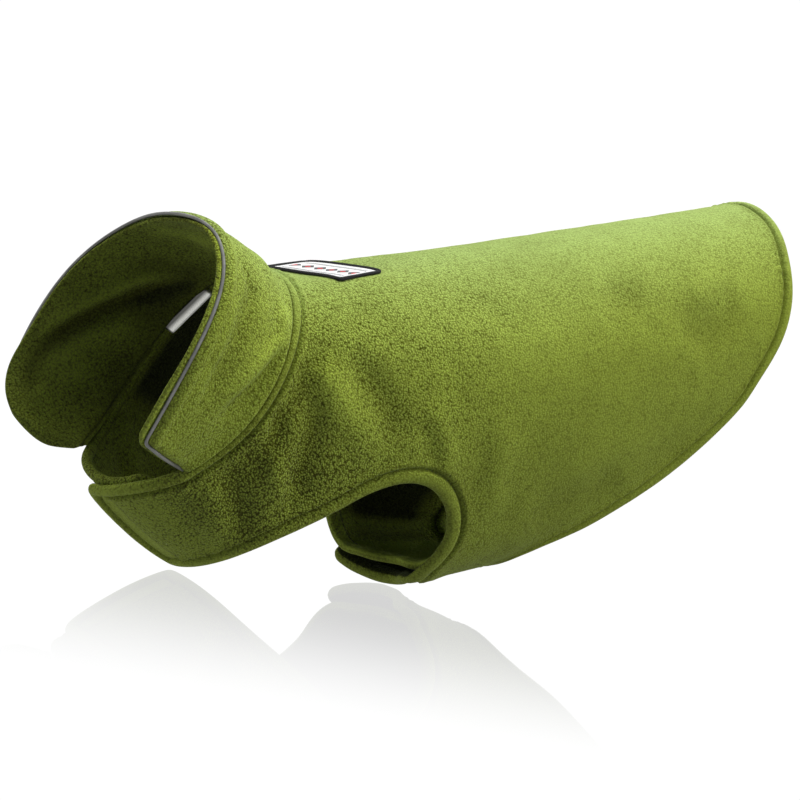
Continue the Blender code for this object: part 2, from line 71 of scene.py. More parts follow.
# %% [markdown]
# ## The camera
# The coat is seen from its left front, a little from above, through a long lens, so its form is hardly
# distorted. The camera looks at a point in the middle of the coat from 1.8 m away. It is made first, so that
# every later step can be looked at through it.

# %% Camera
LOOK_AT = Vector((0.1067, 0.0, -0.0894))
AZIMUTH, ELEVATION, DISTANCE = -38, 11, 1.8     # degrees from the coat's left side and up, and metres


def way_towards(azimuth, elevation):
    """The way out to an azimuth and an elevation in degrees."""
    azimuth, elevation = math.radians(azimuth), math.radians(elevation)
    return Vector((
        math.sin(azimuth) * math.cos(elevation), -math.cos(azimuth) * math.cos(elevation), math.sin(elevation)))


def new_object(name, data):
    """An object in the scene, from a mesh, a lamp or a camera."""
    made = bpy.data.objects.new(name, data)
    bpy.context.scene.collection.objects.link(made)
    return made


towards_camera = way_towards(AZIMUTH, ELEVATION)
camera = new_object("camera", bpy.data.cameras.new("camera"))
camera.data.lens = 130.4
camera.data.sensor_width = 36
camera.data.clip_end = 50
camera.location = LOOK_AT + towards_camera * DISTANCE
camera.rotation_euler = towards_camera.to_track_quat("Z", "Y").to_euler()
bpy.context.scene.camera = camera
print("camera at", [round(c, 3) for c in camera.location])

# %% [markdown]
# ## The form under the cloth
# A coat that is worn takes the form of the body in it. That form is a row of cross-sections, the same ones that
# the solids were made from. A place on it is given by its station, the millimetres along the back from the neck
# seam, and by its turn, the degrees round the body from the spine. A smooth spline runs from section to section.
# Describing the coat this way, rather than as one sculpted mesh, lets every hem, stitch and fold be placed by
# where it is on the cloth.

# %% Sizes and the form's cross-sections, in millimetres and degrees
METRES = 0.001          # metres in a millimetre
FLEECE = 2.5            # thickness of the body's fleece
COLLAR_FLEECE = 2.4     # thickness of each of the collar's two layers
HEM_EXTRA = 1.8         # what a turned-in hem adds on the inside
GAP = 0.3               # between pieces that touch
TAPE = 1.7              # touch-fastener tape, backing and pile
TAPE_PLAY = 0.6         # between the two tapes of a fastener
LIFT = FLEECE + GAP + TAPE + TAPE_PLAY + TAPE + GAP
LIFT_FROM, LIFT_TO = 110, 147       # degrees round, over which the near flaps rise over the far ones

SECTIONS = (
    # station, spine x, spine z, lean, half width, depth, flatness of the back
    (0, 0, 0, 43, 64.0, 156, 0.20),
    (50, 49, -2, 33, 72.5, 190, 0.60),
    (130, 127, -1, 13, 79.5, 198, 0.30),
    (260, 257, 3, 0, 77.5, 185, 0.05),
    (400, 397, 8, -4, 65.5, 163, 0.00),
)
FLAT_TURN = 50          # how far round from the spine a flattened back reaches, degrees

PATCH_X, PATCH_ALONG, PATCH_ACROSS = 50, 38, 65     # its middle's station, its length and its width
PATCH_SKEW, PATCH_CORNER = -8, 5                    # degrees, and the corners' radius
PATCH_TURN = 27         # where its two ends lie, in degrees from the spine
PATCH_PRESS = 3.6       # how far it presses the fleece down at its middle
PATCH_LEVEL = 4.9       # how much less at its ends, because it is stiff and stays nearly flat
PATCH_TILT = 1.0        # how much more at its edge towards the neck


def natural_spline(rows):
    """A smooth curve through rows, whose first column is the parameter."""
    rows = np.array(rows, float)
    rows = rows[np.argsort(rows[:, 0])]
    at, value = rows[:, 0], rows[:, 1:]
    step = np.diff(at)
    system = np.eye(len(at))
    bend = np.zeros_like(value)
    for i in range(1, len(at) - 1):
        system[i, i - 1:i + 2] = step[i - 1], 2 * (step[i - 1] + step[i]), step[i]
        bend[i] = 6 * ((value[i + 1] - value[i]) / step[i] - (value[i] - value[i - 1]) / step[i - 1])
    bend = np.linalg.solve(system, bend)

    def curve(x):
        x = np.asarray(x, float)
        k = np.clip(np.searchsorted(at, x) - 1, 0, len(step) - 1)
        low, high, h = (x - at[k])[..., None], (at[k + 1] - x)[..., None], step[k][..., None]
        cubic = (bend[k] * high ** 3 + bend[k + 1] * low ** 3) / (6 * h)
        line = (value[k] / h - bend[k] * h / 6) * high + (value[k + 1] / h - bend[k + 1] * h / 6) * low
        return cubic + line

    return curve


def smoothstep(x, low, high):
    """0 below low, 1 above high, and a soft rise between them."""
    share = np.clip((np.asarray(x, float) - low) / (high - low), 0, 1)
    return share * share * (3 - 2 * share)


def bump_at(x, middle, width):
    """A soft hump of height 1 round the middle."""
    return np.exp(-((np.asarray(x, float) - middle) / width) ** 2)


def unit(vectors):
    return vectors / np.linalg.norm(vectors, axis=-1, keepdims=True)


section_at = natural_spline(SECTIONS)


def form_point(station, turn):
    """The form where the cloth's inner face lies."""
    row = section_at(station)
    spine_x, spine_z, lean, half_width, depth, flatness = (row[..., i] for i in range(6))
    turn = (np.asarray(turn, float) + 180) % 360 - 180
    angle, lean = np.radians(turn), np.radians(lean)
    flattened = 1 - flatness * np.exp(-(turn / FLAT_TURN) ** 2)
    down = depth * (1 - np.cos(angle)) / 2 * flattened
    return np.stack([spine_x - down * np.sin(lean), half_width * np.sin(angle), spine_z - down * np.cos(lean)], -1)


def form_normal(station, turn):
    station, turn = np.asarray(station, float), np.asarray(turn, float)
    along = form_point(station + 0.5, turn) - form_point(station - 0.5, turn)
    around = form_point(station, turn + 0.5) - form_point(station, turn - 0.5)
    return unit(np.cross(along, around))


def flap_lift(turn):
    """The near flaps pass over the far ones, so their inner face rises off the form."""
    near = np.asarray(turn, float) < 0
    return np.where(near, LIFT * smoothstep(-np.asarray(turn, float), LIFT_FROM, LIFT_TO), 0.0)


def patch_press(station, turn):
    """How far the cloth under the stiff patch stands off the form: below it in the middle, above it at the ends."""
    station, turn = np.asarray(station, float), np.abs(np.asarray(turn, float))
    to_neck = np.clip((PATCH_X - station) / (PATCH_ALONG / 2), -1.2, 1.6)
    level = (PATCH_LEVEL + 0.7 * to_neck) * np.minimum(turn / PATCH_TURN, 1) ** 2
    across = 1 - smoothstep(turn, PATCH_TURN, 2 * PATCH_TURN)
    along = 1 - smoothstep(np.abs(station - PATCH_X), 20, 44)
    return (level - PATCH_PRESS - PATCH_TILT * to_neck) * across * along


def cloth_point(station, turn, out):
    """A point of the body's cloth, out from its inner face."""
    stand_off = np.asarray(out, float) + flap_lift(turn) + patch_press(station, turn)
    return form_point(station, turn) + form_normal(station, turn) * stand_off[..., None]


girth = np.linalg.norm(np.diff(form_point(np.full(361, 130.0), np.arange(-180.0, 181.0)), axis=0), axis=1).sum()
print(f"the form is {girth:.0f} mm round the chest")

# %% [markdown]
# ## The cut of the body
# A maker cuts the body as one flat panel: the back, with a chest flap and a belly strap on each side and a notch
# for the foreleg between them. The outline is written once for half the coat, as short tables of station against
# turn, and mirrored. The near flaps reach less far round than the far ones, which they cover.

# %% The panel's outline
NECK_EDGE = (
    # turn, station
    (0, 0), (30, 2.5), (60, 6.5), (90, 9.5), (110, 8), (130, 2.3), (145, -4), (160, -7), (180, -6.5), (220, -6),
)
CHEST_EDGE = (
    # turn, station: the chest flap's lower edge, from under the chest to the front leg
    (220, 50), (184, 50), (175, 49), (165, 49), (154, 50.5), (142, 54), (130, 62.5), (120, 73), (113, 81),
)
LEG_EDGE = (
    # step, turn, station: round the front leg's opening
    (0, 113, 81), (1, 109, 88), (2, 106.7, 96), (3, 106.5, 103), (4, 108.5, 111.5), (5, 112.5, 118.5),
    (6, 118, 124.5), (7, 124, 128.5), (8, 131, 131),
)
STRAP_FRONT_EDGE = (
    # turn, station: the belly strap's front edge
    (131, 131), (141, 130), (150, 129.5), (158, 130.5), (165, 133), (172, 137), (180, 141.5), (187, 140.5),
    (194, 137), (200, 133.5), (220, 130), (230, 129),
)
STRAP_REAR_EDGE = (
    # turn, station
    (230, 177), (220, 178), (200, 181), (190, 183), (178, 184), (165, 185.5), (155, 189.5), (150.5, 198),
)
BACK_EDGE = (
    # step, turn, station: the hem from the belly strap up to the tail
    (0, 150.5, 198), (1, 145, 219), (2, 138, 243), (3, 131, 270), (4, 122, 300), (5, 110.5, 330), (6, 101, 344.5),
    (7, 89.5, 363.5), (8, 77.5, 377.5), (9, 65, 387), (10, 50.5, 394), (11, 35, 401), (12, 18, 405), (13, 0, 407),
)
NEAR = {"side": -1, "chest_end": 190, "strap_end": 211}
FAR = {"side": 1, "chest_end": 213, "strap_end": 213}
FAR_TIP_BACK = 9        # how much farther back the far strap's front edge runs at its tip, behind the near strap
FLAP_TAPER = 4          # how much less the chest flap's end reaches round at its lower edge, degrees
FLAP_TOP, FLAP_DEPTH = -6, 56       # station of the end's upper corner, and the end's length
FLAP_SCALE = 1.32       # millimetres a degree at the flap's end
CHEST_CORNER = 7        # how much the chest flap's corner at the neck is cut off
STRAP_CORNER = 7        # radius of the strap's tip
CORNER_REACH = 5        # how far from a corner its rounding starts
MEAN_SCALE = 1.45       # millimetres a degree, over the whole body

neck_station = natural_spline(NECK_EDGE)


def edge_between(rows, start, stop, count=60):
    turns = np.linspace(start, stop, count)
    return np.stack([natural_spline(rows)(turns)[:, 0], turns], -1)


def edge_by_step(rows, count=120):
    return natural_spline(rows)(np.linspace(0, len(rows) - 1, count))[:, ::-1]


def chest_flap_end(end):
    """Points down the end of a chest flap, which tapers a little, from below its cut-off corner."""
    share = np.linspace(CHEST_CORNER / FLAP_DEPTH, 1, 12)
    top, foot = neck_station(end)[0], natural_spline(CHEST_EDGE)(end - FLAP_TAPER)[0]
    return np.stack([top + (foot - top) * share, end - FLAP_TAPER * share], -1)


def strap_tip(end):
    """Points down the rounded end of a belly strap, and the turn where its straight edges stop."""
    front, rear = natural_spline(STRAP_FRONT_EDGE)(end)[0], natural_spline(STRAP_REAR_EDGE)(end)[0]
    middle = (front + rear) / 2
    scale = np.linalg.norm(form_point(middle, end + 0.5) - form_point(middle, end - 0.5))
    angles = np.linspace(0, math.pi / 2, 7)
    round_off, reach = STRAP_CORNER * (1 - np.cos(angles)), STRAP_CORNER * (1 - np.sin(angles))
    front_corner = np.stack([front + round_off, end - reach / scale], -1)
    rear_corner = np.stack([rear - reach, end - round_off / scale], -1)
    return np.concatenate([front_corner, rear_corner]), end - STRAP_CORNER / scale


def half_outline(side, chest_end, strap_end):
    tip, corner_turn = strap_tip(strap_end)
    points = np.concatenate([
        edge_between(NECK_EDGE, 0, chest_end - CHEST_CORNER / MEAN_SCALE),
        chest_flap_end(chest_end),
        edge_between(CHEST_EDGE, chest_end - FLAP_TAPER, 113),
        edge_by_step(LEG_EDGE),
        edge_between(STRAP_FRONT_EDGE, 131, corner_turn),
        tip,
        edge_between(STRAP_REAR_EDGE, corner_turn, 150.5),
        edge_by_step(BACK_EDGE),
    ])
    points[:, 1] *= side
    return points


def to_flat(points):
    """(station, turn) as millimetres in a plane."""
    points = np.asarray(points, float)
    return np.stack([points[:, 0], points[:, 1] * MEAN_SCALE], -1)


def from_flat(points):
    points = np.asarray(points, float)
    return np.stack([points[:, 0], points[:, 1] / MEAN_SCALE], -1)


def resample(loop, step):
    """The closed loop again with points an even step apart."""
    closed = np.concatenate([loop, loop[:1]])
    length = np.concatenate([[0], np.cumsum(np.linalg.norm(np.diff(closed, axis=0), axis=1))])
    at = np.arange(round(length[-1] / step)) * length[-1] / round(length[-1] / step)
    return np.stack([np.interp(at, length, closed[:, i]) for i in range(2)], -1)


def soften_corners(loop, reach):
    fine = resample(loop, 1.0)
    return np.mean([np.roll(fine, k, axis=0) for k in range(-reach, reach + 1)], axis=0)


near_half, far_half = half_outline(**NEAR), half_outline(**FAR)
on_strap_front = (far_half[:, 0] > 100) & (far_half[:, 0] < 160)
far_half[:, 0] += FAR_TIP_BACK * smoothstep(far_half[:, 1], 186, 204) * on_strap_front
body_outline = soften_corners(to_flat(np.concatenate([near_half, far_half[::-1]])), CORNER_REACH)
cut_low, cut_high = from_flat(body_outline).min(0), from_flat(body_outline).max(0)
print("the panel runs over stations", cut_low[0].round(), "to", cut_high[0].round(), "mm and turns",
      cut_low[1].round(), "to", cut_high[1].round(), "degrees")

# %% [markdown]
# ## Hems
# Every free edge is turned in and topstitched. That makes a soft roll at the edge, a puffed band, and a groove
# where the stitches pull the fleece down. The band could be a bevel, but a hem needs its profile to follow the
# edge at an even distance, so the panel's mesh gets lines of points at chosen distances from the edge, and the
# cloth's two faces rise and sink with that distance. Under the collar there is no turned edge, only the seam and
# one row of topstitching beside it.

# %% Distances from the edge, and the hem's profile
HEM_GROOVE = 8.0        # from the edge to the topstitching
NECK_GROOVE = 6.2       # from the neck seam to the topstitching beside the collar
HEM_PUFF = 1.3          # how far the hem's band swells
GROOVE_WIDTH = 0.95     # of the groove that a stitched line presses in
ROLL_OUT, ROLL_IN = 5.3, -1.5       # how far the near belly strap's front hem swells outward and inward
TUCK, TUCK_FILL, CURL = 2.0, 1.2, 3.5       # bends of the near strap's front edge, and of the far one's
GROOVE_DEPTH = 2.3
HEM_LINES = (0.35, 0.9, 1.7, 2.8, 4.0, 5.1, 6.1, 7.0, 7.9, 8.8, 9.7, 10.6, 11.7, 13.0, 14.6)
COLLAR_NEAR_END, COLLAR_FAR_END = 131, 137


def signed_area(loop):
    x, y = loop[:, 0], loop[:, 1]
    return float(np.sum(x * np.roll(y, -1) - np.roll(x, -1) * y) / 2)


def inset(loop, distance, step):
    """The loop moved inward by a real distance on the cloth."""
    fine = resample(loop, 2.0)
    station, turn = from_flat(fine).T
    place = form_point(station, turn)
    tangent = unit(np.roll(place, -2, axis=0) - np.roll(place, 2, axis=0))
    inward = np.cross(form_normal(station, turn), tangent) * np.sign(signed_area(fine))
    along = form_point(station + 0.5, turn) - form_point(station - 0.5, turn)
    around = form_point(station, turn + 0.5) - form_point(station, turn - 0.5)
    frames = np.stack([along, around], -1)
    steps = np.array([np.linalg.lstsq(f, way * distance, rcond=None)[0] for f, way in zip(frames, inward)])
    moved = np.stack([station, turn], -1) + steps
    moved_place = form_point(*moved.T)
    clear = []
    for (_, its_turn), its_place in zip(moved, moved_place):
        nearby = np.abs(turn - its_turn) < 90
        clear.append(np.min(np.linalg.norm(place[nearby] - its_place, axis=1)) > 0.93 * distance)
    return resample(to_flat(moved[np.array(clear)]), step)


def edge_finder(loop):
    """A function that gives each (station, turn)'s real distance from the loop, and how far along the loop."""
    fine = resample(loop, 1.0)
    station, turn = from_flat(fine).T
    place = form_point(station, turn)
    ahead = np.roll(place, -1, axis=0)
    run = np.concatenate([[0], np.cumsum(np.linalg.norm(ahead - place, axis=1))[:-1]])
    trees = {}
    for side in (-1, 1):
        chosen = np.flatnonzero(side * turn > -25)
        trees[side] = KDTree(len(chosen))
        for k in chosen:
            trees[side].insert(Vector(place[k]), int(k))
        trees[side].balance()

    def to_segment(points, start, stop):
        way = stop - start
        share = np.clip(((points - start) * way).sum(-1) / (way * way).sum(-1), 0, 1)
        return np.linalg.norm(points - start - way * share[:, None], axis=1)

    def find(stations, turns):
        points = form_point(stations, turns)
        nearest = np.array([trees[1 if t >= 0 else -1].find(Vector(p))[1] for t, p in zip(turns, points)])
        before = np.roll(place, 1, axis=0)[nearest]
        distance = np.minimum(
            to_segment(points, before, place[nearest]), to_segment(points, place[nearest], ahead[nearest]))
        return distance, run[nearest]

    return find


def under_collar(station, turn):
    """1 along the collar's seam and 0 along the free edges, with a short change between them."""
    turn = np.asarray(turn, float)
    end = np.where(turn < 0, COLLAR_NEAR_END, COLLAR_FAR_END)
    close = smoothstep(neck_station(np.abs(turn))[..., 0] + 26 - station, 0, 6)
    return (1 - smoothstep(np.abs(turn), end - 3, end + 3)) * close


def rounded(distance, radius):
    """0 at the edge and 1 further in than the radius, along a quarter circle."""
    return np.sqrt(np.clip(1 - (1 - np.minimum(distance / radius, 1)) ** 2, 0, 1))


def hem_width(station, turn):
    """The hem is wider round the leg opening and narrower at the neck."""
    low = smoothstep(np.abs(turn), 92, 104)
    return HEM_GROOVE * (1 + 0.3 * bump_at(station, 125, 34) * low - 0.08 * (1 - smoothstep(station, 8, 30)))


def strap_front(station):
    """1 along the belly straps' front edges, and 0 at their rear edges."""
    return smoothstep(station, 100, 122) * (1 - smoothstep(station, 150, 166))


def strap_roll(station, turn):
    """1 along the front edge of the near belly strap, whose hem is rolled thickest, and 0 elsewhere."""
    return strap_front(station) * smoothstep(-np.asarray(turn, float), 168, 193)


def strap_bend(station, turn, distance):
    """How far the straps' front edges bend inward: the far one curls up under the chest, clear of the near one."""
    turn = np.asarray(turn, float)
    tuck = (TUCK * bump_at(turn, -166, 8) - TUCK_FILL * bump_at(turn, -157, 5)) * (1 - smoothstep(distance, 4, 16))
    curl = CURL * smoothstep(turn, 154, 167) * (1 - smoothstep(turn, 184, 200))
    curl *= 1 - smoothstep(distance, 8, 22)
    return strap_front(station) * (tuck + curl)


def pucker_wave(along):
    """The small gathers that the stitching makes, uneven along the hem, from -1 to 1."""
    uneven = 0.5 + 0.5 * np.sin(along / 23.0 + 2 * np.sin(along / 61.0))
    return np.sin(along / 1.15 + 1.6 * np.sin(along / 8.0)) * uneven


def neck_softness(turn):
    """The collar's seam lies smooth over the spine and is pulled in deeper down the sides."""
    return 0.4 + 0.6 * smoothstep(np.abs(turn), 40, 80)


def hem_faces(station, turn, distance, along):
    """How far out the cloth's outer and inner faces lie at a distance from the edge."""
    seam, roll = under_collar(station, turn), strap_roll(station, turn)
    outward = ROLL_OUT * roll * (1 - smoothstep(distance, 6, 17))
    inward = ROLL_IN * roll * (1 - smoothstep(distance, 4, 11))
    half = (FLEECE + HEM_EXTRA + outward + inward) / 2
    middle = (FLEECE - HEM_EXTRA + outward - inward) / 2
    reach = distance * HEM_GROOVE / hem_width(station, turn)
    gathers = 0.6 * bump_at(reach, HEM_GROOVE + 2.6, 2.2) + 0.22 * bump_at(reach, HEM_GROOVE - 2.6, 2.0)
    gathers *= pucker_wave(along)
    outer = middle + half * rounded(distance, half)
    outer += HEM_PUFF * np.sin(np.pi * np.clip(reach / HEM_GROOVE, 0, 1)) + gathers
    smooth_there = np.maximum(0.8 * roll, 0.8 * strap_front(station) * bump_at(turn, -158, 14))
    outer -= GROOVE_DEPTH * bump_at(reach, HEM_GROOVE, GROOVE_WIDTH) * (1 - smooth_there)
    outer += 0.8 * bump_at(reach, HEM_GROOVE + 2.8, 1.6)
    inner = middle - half * rounded(distance, half)
    inner += HEM_EXTRA * smoothstep(reach, HEM_GROOVE - 0.6, HEM_GROOVE + 0.8)
    inner -= 0.5 * np.sin(np.pi * np.clip(reach / HEM_GROOVE, 0, 1))
    inner += 0.9 * bump_at(reach, HEM_GROOVE - 0.6, GROOVE_WIDTH)
    seam_outer = FLEECE / 2 + FLEECE / 2 * rounded(distance, FLEECE / 2)
    seam_outer += 0.9 * np.sin(np.pi * np.clip(distance / NECK_GROOVE, 0, 1)) + 0.5 * gathers
    seam_outer -= GROOVE_DEPTH * bump_at(distance, NECK_GROOVE, GROOVE_WIDTH) * neck_softness(turn)
    seam_outer += 0.6 * bump_at(distance, NECK_GROOVE + 2.6, 1.6)
    seam_inner = FLEECE / 2 - FLEECE / 2 * rounded(distance, FLEECE / 2)
    bend = strap_bend(station, turn, distance)
    return outer + (seam_outer - outer) * seam - bend, inner + (seam_inner - inner) * seam - bend


def painted_groove_shade(station, turn, distance, along):
    """Painted shade in the stitched grooves and along the collar's seam: 1 at the darkest and 0 elsewhere."""
    seam = under_collar(station, turn)
    reach = distance * HEM_GROOVE / hem_width(station, turn)
    marks = 0.5 + 0.5 * pucker_wave(along)
    hem = bump_at(reach, HEM_GROOVE, 0.8) * (0.5 + 0.4 * marks) + 0.4 * marks * bump_at(reach, HEM_GROOVE + 2.4, 1.5)
    neck = bump_at(distance, NECK_GROOVE, 0.8) * (0.6 + 0.4 * marks) + bump_at(distance, 0, 1.5)
    neck *= neck_softness(turn)
    return hem + (neck - hem) * seam


find_edge = edge_finder(body_outline)
hem_loops = [inset(body_outline, distance, 2.2) for distance in HEM_LINES]
print(len(hem_loops), "lines follow the edge, which is", round(len(body_outline)), "mm long in the plane")

# %% [markdown]
# ## Folds
# Fleece is thick and soft, so it makes few, broad folds: troughs that run from the shoulder to the leg opening,
# slack across the chest flap, and faint dents on the flanks. A cloth simulation would put them where it likes.
# Here each one is given as a short path with a width and a depth, deepest in its middle, and each side of
# the coat has its own.

# %% Folds, as paths on the cloth
FOLDS = {
    # name: (width, depth, ((station, turn), ...)), with ridges above 0 and troughs below
    "shoulder_trough": (10, -3.0, ((42, -60), (56, -70), (70, -78), (82, -86), (92, -94))),
    "shoulder_ridge": (11, 2.2, ((24, -66), (44, -80), (66, -91), (86, -101))),
    "chest_trough": (9, -4.2, ((20, -70), (34, -84), (44, -96), (48, -106), (53, -118), (56, -132))),
    "chest_crease": (5, -2.4, ((16, -86), (25, -97), (28, -106), (29, -115), (26, -124))),
    "leg_trough": (4.5, -1.5, ((92, -83), (100, -90), (107, -98), (111, -104))),
    "leg_ridge": (6, 1.8, ((98, -78), (108, -88), (115, -97), (118, -106))),
    "under_collar_trough": (7, -2.8, ((30, -58), (25, -74), (25, -92), (23, -108), (18, -122))),
    "flap_ridge": (7, 2.8, ((13, -95), (26, -106), (42, -115), (51, -124))),
    "flap_trough": (9, -4.2, ((12, -114), (24, -124), (38, -133), (50, -142))),
    "flap_end_ridge": (7, 1.2, ((14, -128), (28, -135), (44, -143))),
    "flap_end_trough": (6, -1.8, ((10, -142), (24, -148), (42, -155))),
    "shoulder_crease": (9, -0.8, ((112, -30), (128, -40), (146, -52), (160, -62))),
    "strap_tip_dent": (7, -1.8, ((127, -156), (135, -166), (139, -178))),
    "strap_swell": (8, 1.7, ((136, -147), (141, -156), (150, -170))),
    "behind_leg": (8, -1.0, ((128, -84), (132, -96), (133, -108), (140, -122))),
    "behind_leg_ridge": (9, 1.4, ((140, -84), (146, -98), (147, -112), (156, -126))),
    "flank_dent": (17, -1.8, ((222, -46), (240, -51), (262, -54))),
    "tail_dent": (18, -2.2, ((282, -82), (299, -73), (318, -66), (334, -52))),
    "tail_ridge": (15, 1.5, ((292, -54), (309, -57), (330, -62))),
    "low_flank_dent": (15, -1.8, ((238, -118), (218, -124), (190, -126), (168, -127))),
    "low_flank_ridge": (14, 1.2, ((262, -104), (236, -108), (205, -112), (180, -112))),
    "back_wave": (20, -1.0, ((150, -28), (180, -36), (215, -38))),
    "far_shoulder_trough": (10, -3.6, ((35, 58), (50, 68), (70, 77), (88, 92))),
    "far_shoulder_ridge": (10, 2.4, ((40, 72), (58, 81), (76, 90), (94, 99))),
    "far_collar_trough": (9, -2.4, ((22, 76), (34, 88), (46, 100), (50, 114))),
    "far_leg_trough": (6, -2.0, ((82, 78), (94, 87), (106, 97))),
    "far_leg_ridge": (8, 1.8, ((74, 64), (90, 75), (104, 86), (112, 97))),
    "far_flap_trough": (11, -3.0, ((14, 110), (26, 120), (42, 131))),
    "far_flap_ridge": (9, 2.0, ((18, 126), (30, 134), (46, 144))),
    "far_behind_leg": (8, -1.7, ((130, 82), (134, 95), (138, 110), (150, 124))),
    "far_flank_dent": (18, -1.9, ((205, 60), (226, 68), (254, 70))),
    "far_flank_ridge": (14, 1.2, ((236, 90), (262, 92), (290, 84))),
    "far_tail_dent": (18, -2.1, ((290, 70), (312, 62), (336, 56))),
    "far_low_dent": (15, -1.7, ((244, 116), (216, 122), (184, 128))),
    "far_back_wave": (20, -0.9, ((140, 34), (176, 40), (210, 36))),
}


FOLD_ENDS = 0.3         # the share of a fold's length over which each of its ends fades


def spline_through(points, count):
    rows = [(i, *point) for i, point in enumerate(points)]
    return natural_spline(rows)(np.linspace(0, len(points) - 1, count))


def fold_height(places, path_places, width, depth):
    """A soft ridge or trough along a path, that fades towards both its ends."""
    gaps = np.linalg.norm(places[:, None] - path_places[None], axis=2)
    nearest = gaps.argmin(1)
    share = nearest / (len(path_places) - 1)
    fade = smoothstep(share, 0, FOLD_ENDS) * (1 - smoothstep(share, 1 - FOLD_ENDS, 1))
    return depth * fade * np.exp(-(gaps.min(1) / width) ** 2)


def cloth_noise(places, size, seed):
    """A smooth random value from -1 to 1 that changes over a size in millimetres."""
    shift = Vector((seed * 17.3, seed * 5.1, seed * 9.7))
    return np.array([noise.noise(Vector(p) / size + shift) for p in places])


PATCH_PLACE = (48, 0)


def fold_field(station, turn, edge_distance):
    """All that moves both faces of the body's cloth in or out."""
    places = form_point(station, turn)
    height = np.zeros(len(station))
    for width, depth, points in FOLDS.values():
        path = spline_through(points, 40)
        side = np.sign(points[0][1])
        near = (np.sign(turn) == side) & (np.abs(station - path[:, 0].mean()) < 120)
        height[near] += fold_height(places[near], form_point(*path.T), width, depth)
    calm = smoothstep(edge_distance, 2, 14)
    soft = 0.55 * cloth_noise(places, 30, 1) + 0.28 * cloth_noise(places, 12, 2)
    from_patch = np.hypot(station - PATCH_PLACE[0], turn * 1.3 - PATCH_PLACE[1])
    flat_there = smoothstep(from_patch, 34, 52)
    return (height * smoothstep(edge_distance, 0, 8) + soft * (0.35 + 0.65 * calm)) * flat_there


print(len(FOLDS), "folds, the deepest of", min(depth for _, depth, _ in FOLDS.values()), "mm")

# %% [markdown]
# ## The body's cloth
# The mesh is a closed shell: an outer and an inner face that meet in the roll of the hem. Its points fill the
# cut's outline in a plane, a few millimetres apart, and follow the hem's lines, and a constrained Delaunay
# triangulation joins them. A grid couldn't follow the flaps and the leg notch. The chest flap's end has a strip
# where the hook tape is sewn on behind: its pile is pressed flat, and one row of stitching bounds it.

# %% Fill the cut with points
SPACING = 2.7


def is_inside(points, loop):
    """Whether each point lies inside the closed loop, by counting crossings."""
    x, y = np.asarray(points, float).T
    inside = np.zeros(len(x), bool)
    for (x0, y0), (x1, y1) in zip(loop, np.roll(loop, -1, axis=0)):
        if y0 != y1:
            inside ^= ((y0 > y) != (y1 > y)) & (x < (x1 - x0) * (y - y0) / (y1 - y0) + x0)
    return inside


def hex_points(low, high, spacing):
    rows = []
    for row in range(int((high[1] - low[1]) / (spacing * 0.866)) + 1):
        xs = np.arange(low[0] + spacing / 2 * (row % 2), high[0], spacing)
        rows.append(np.stack([xs, np.full(len(xs), low[1] + row * spacing * 0.866)], -1))
    return np.concatenate(rows)


def triangulate(outline, lines, spacing):
    """Points and triangles that fill the outline and follow the closed lines."""
    loops = [outline, *lines]
    edges, start = [], 0
    for loop in loops:
        edges += [(start + i, start + (i + 1) % len(loop)) for i in range(len(loop))]
        start += len(loop)
    filling = hex_points(outline.min(0), outline.max(0), spacing)
    filling = filling[is_inside(filling, resample(outline, 4.0))]
    tree = KDTree(sum(len(loop) for loop in loops))
    for k, (x, y) in enumerate(np.concatenate(loops)):
        tree.insert(Vector((x, y, 0)), k)
    tree.balance()
    room = np.array([tree.find(Vector((x, y, 0)))[2] for x, y in filling])
    filling = filling[room > 0.62 * spacing]
    points = [Vector(p) for p in np.concatenate([*loops, filling])]
    flat, _, faces, *_ = delaunay_2d_cdt(points, edges, [], 0, 1e-4)
    flat = np.array([tuple(p) for p in flat])
    faces = np.array([tuple(f) for f in faces])
    return flat, faces[is_inside(flat[faces].mean(1), outline)]


edge_loop = resample(body_outline, 2.2)
body_flat, body_faces = triangulate(edge_loop, hem_loops, SPACING)
body_station, body_turn = from_flat(body_flat).T
body_distance, body_along = find_edge(body_station, body_turn)
print(len(body_flat), "points and", len(body_faces), "triangles on each face of the body")

# %% Build the body's two faces
STRIP_WIDTH = 22        # from the near chest flap's end to the stitching of its hook tape
STRIP_SINK = 1.8        # how much lower it lies
STRIP_BREAK = 2.2       # the width of the step at its line


def rim_of(faces):
    """The points on the border of a set of triangles."""
    directed = {(int(f[i]), int(f[(i + 1) % 3])) for f in faces for i in range(3)}
    return {a for a, b in directed if (b, a) not in directed}


def closed_shell(faces, outer, inner):
    """Points and triangles of a shell whose two faces share their border points."""
    border = rim_of(faces)
    count = len(outer)
    twin = {k: k if k in border else count + k for k in range(count)}
    corner = outer[faces[0]]
    facing = np.cross(corner[1] - corner[0], corner[2] - corner[0]) @ (outer[faces[0]] - inner[faces[0]]).sum(0)
    outward = [tuple(int(v) for v in (f if facing > 0 else f[::-1])) for f in faces]
    inward = [tuple(twin[v] for v in f[::-1]) for f in outward]
    return np.concatenate([outer, inner]), outward + inward


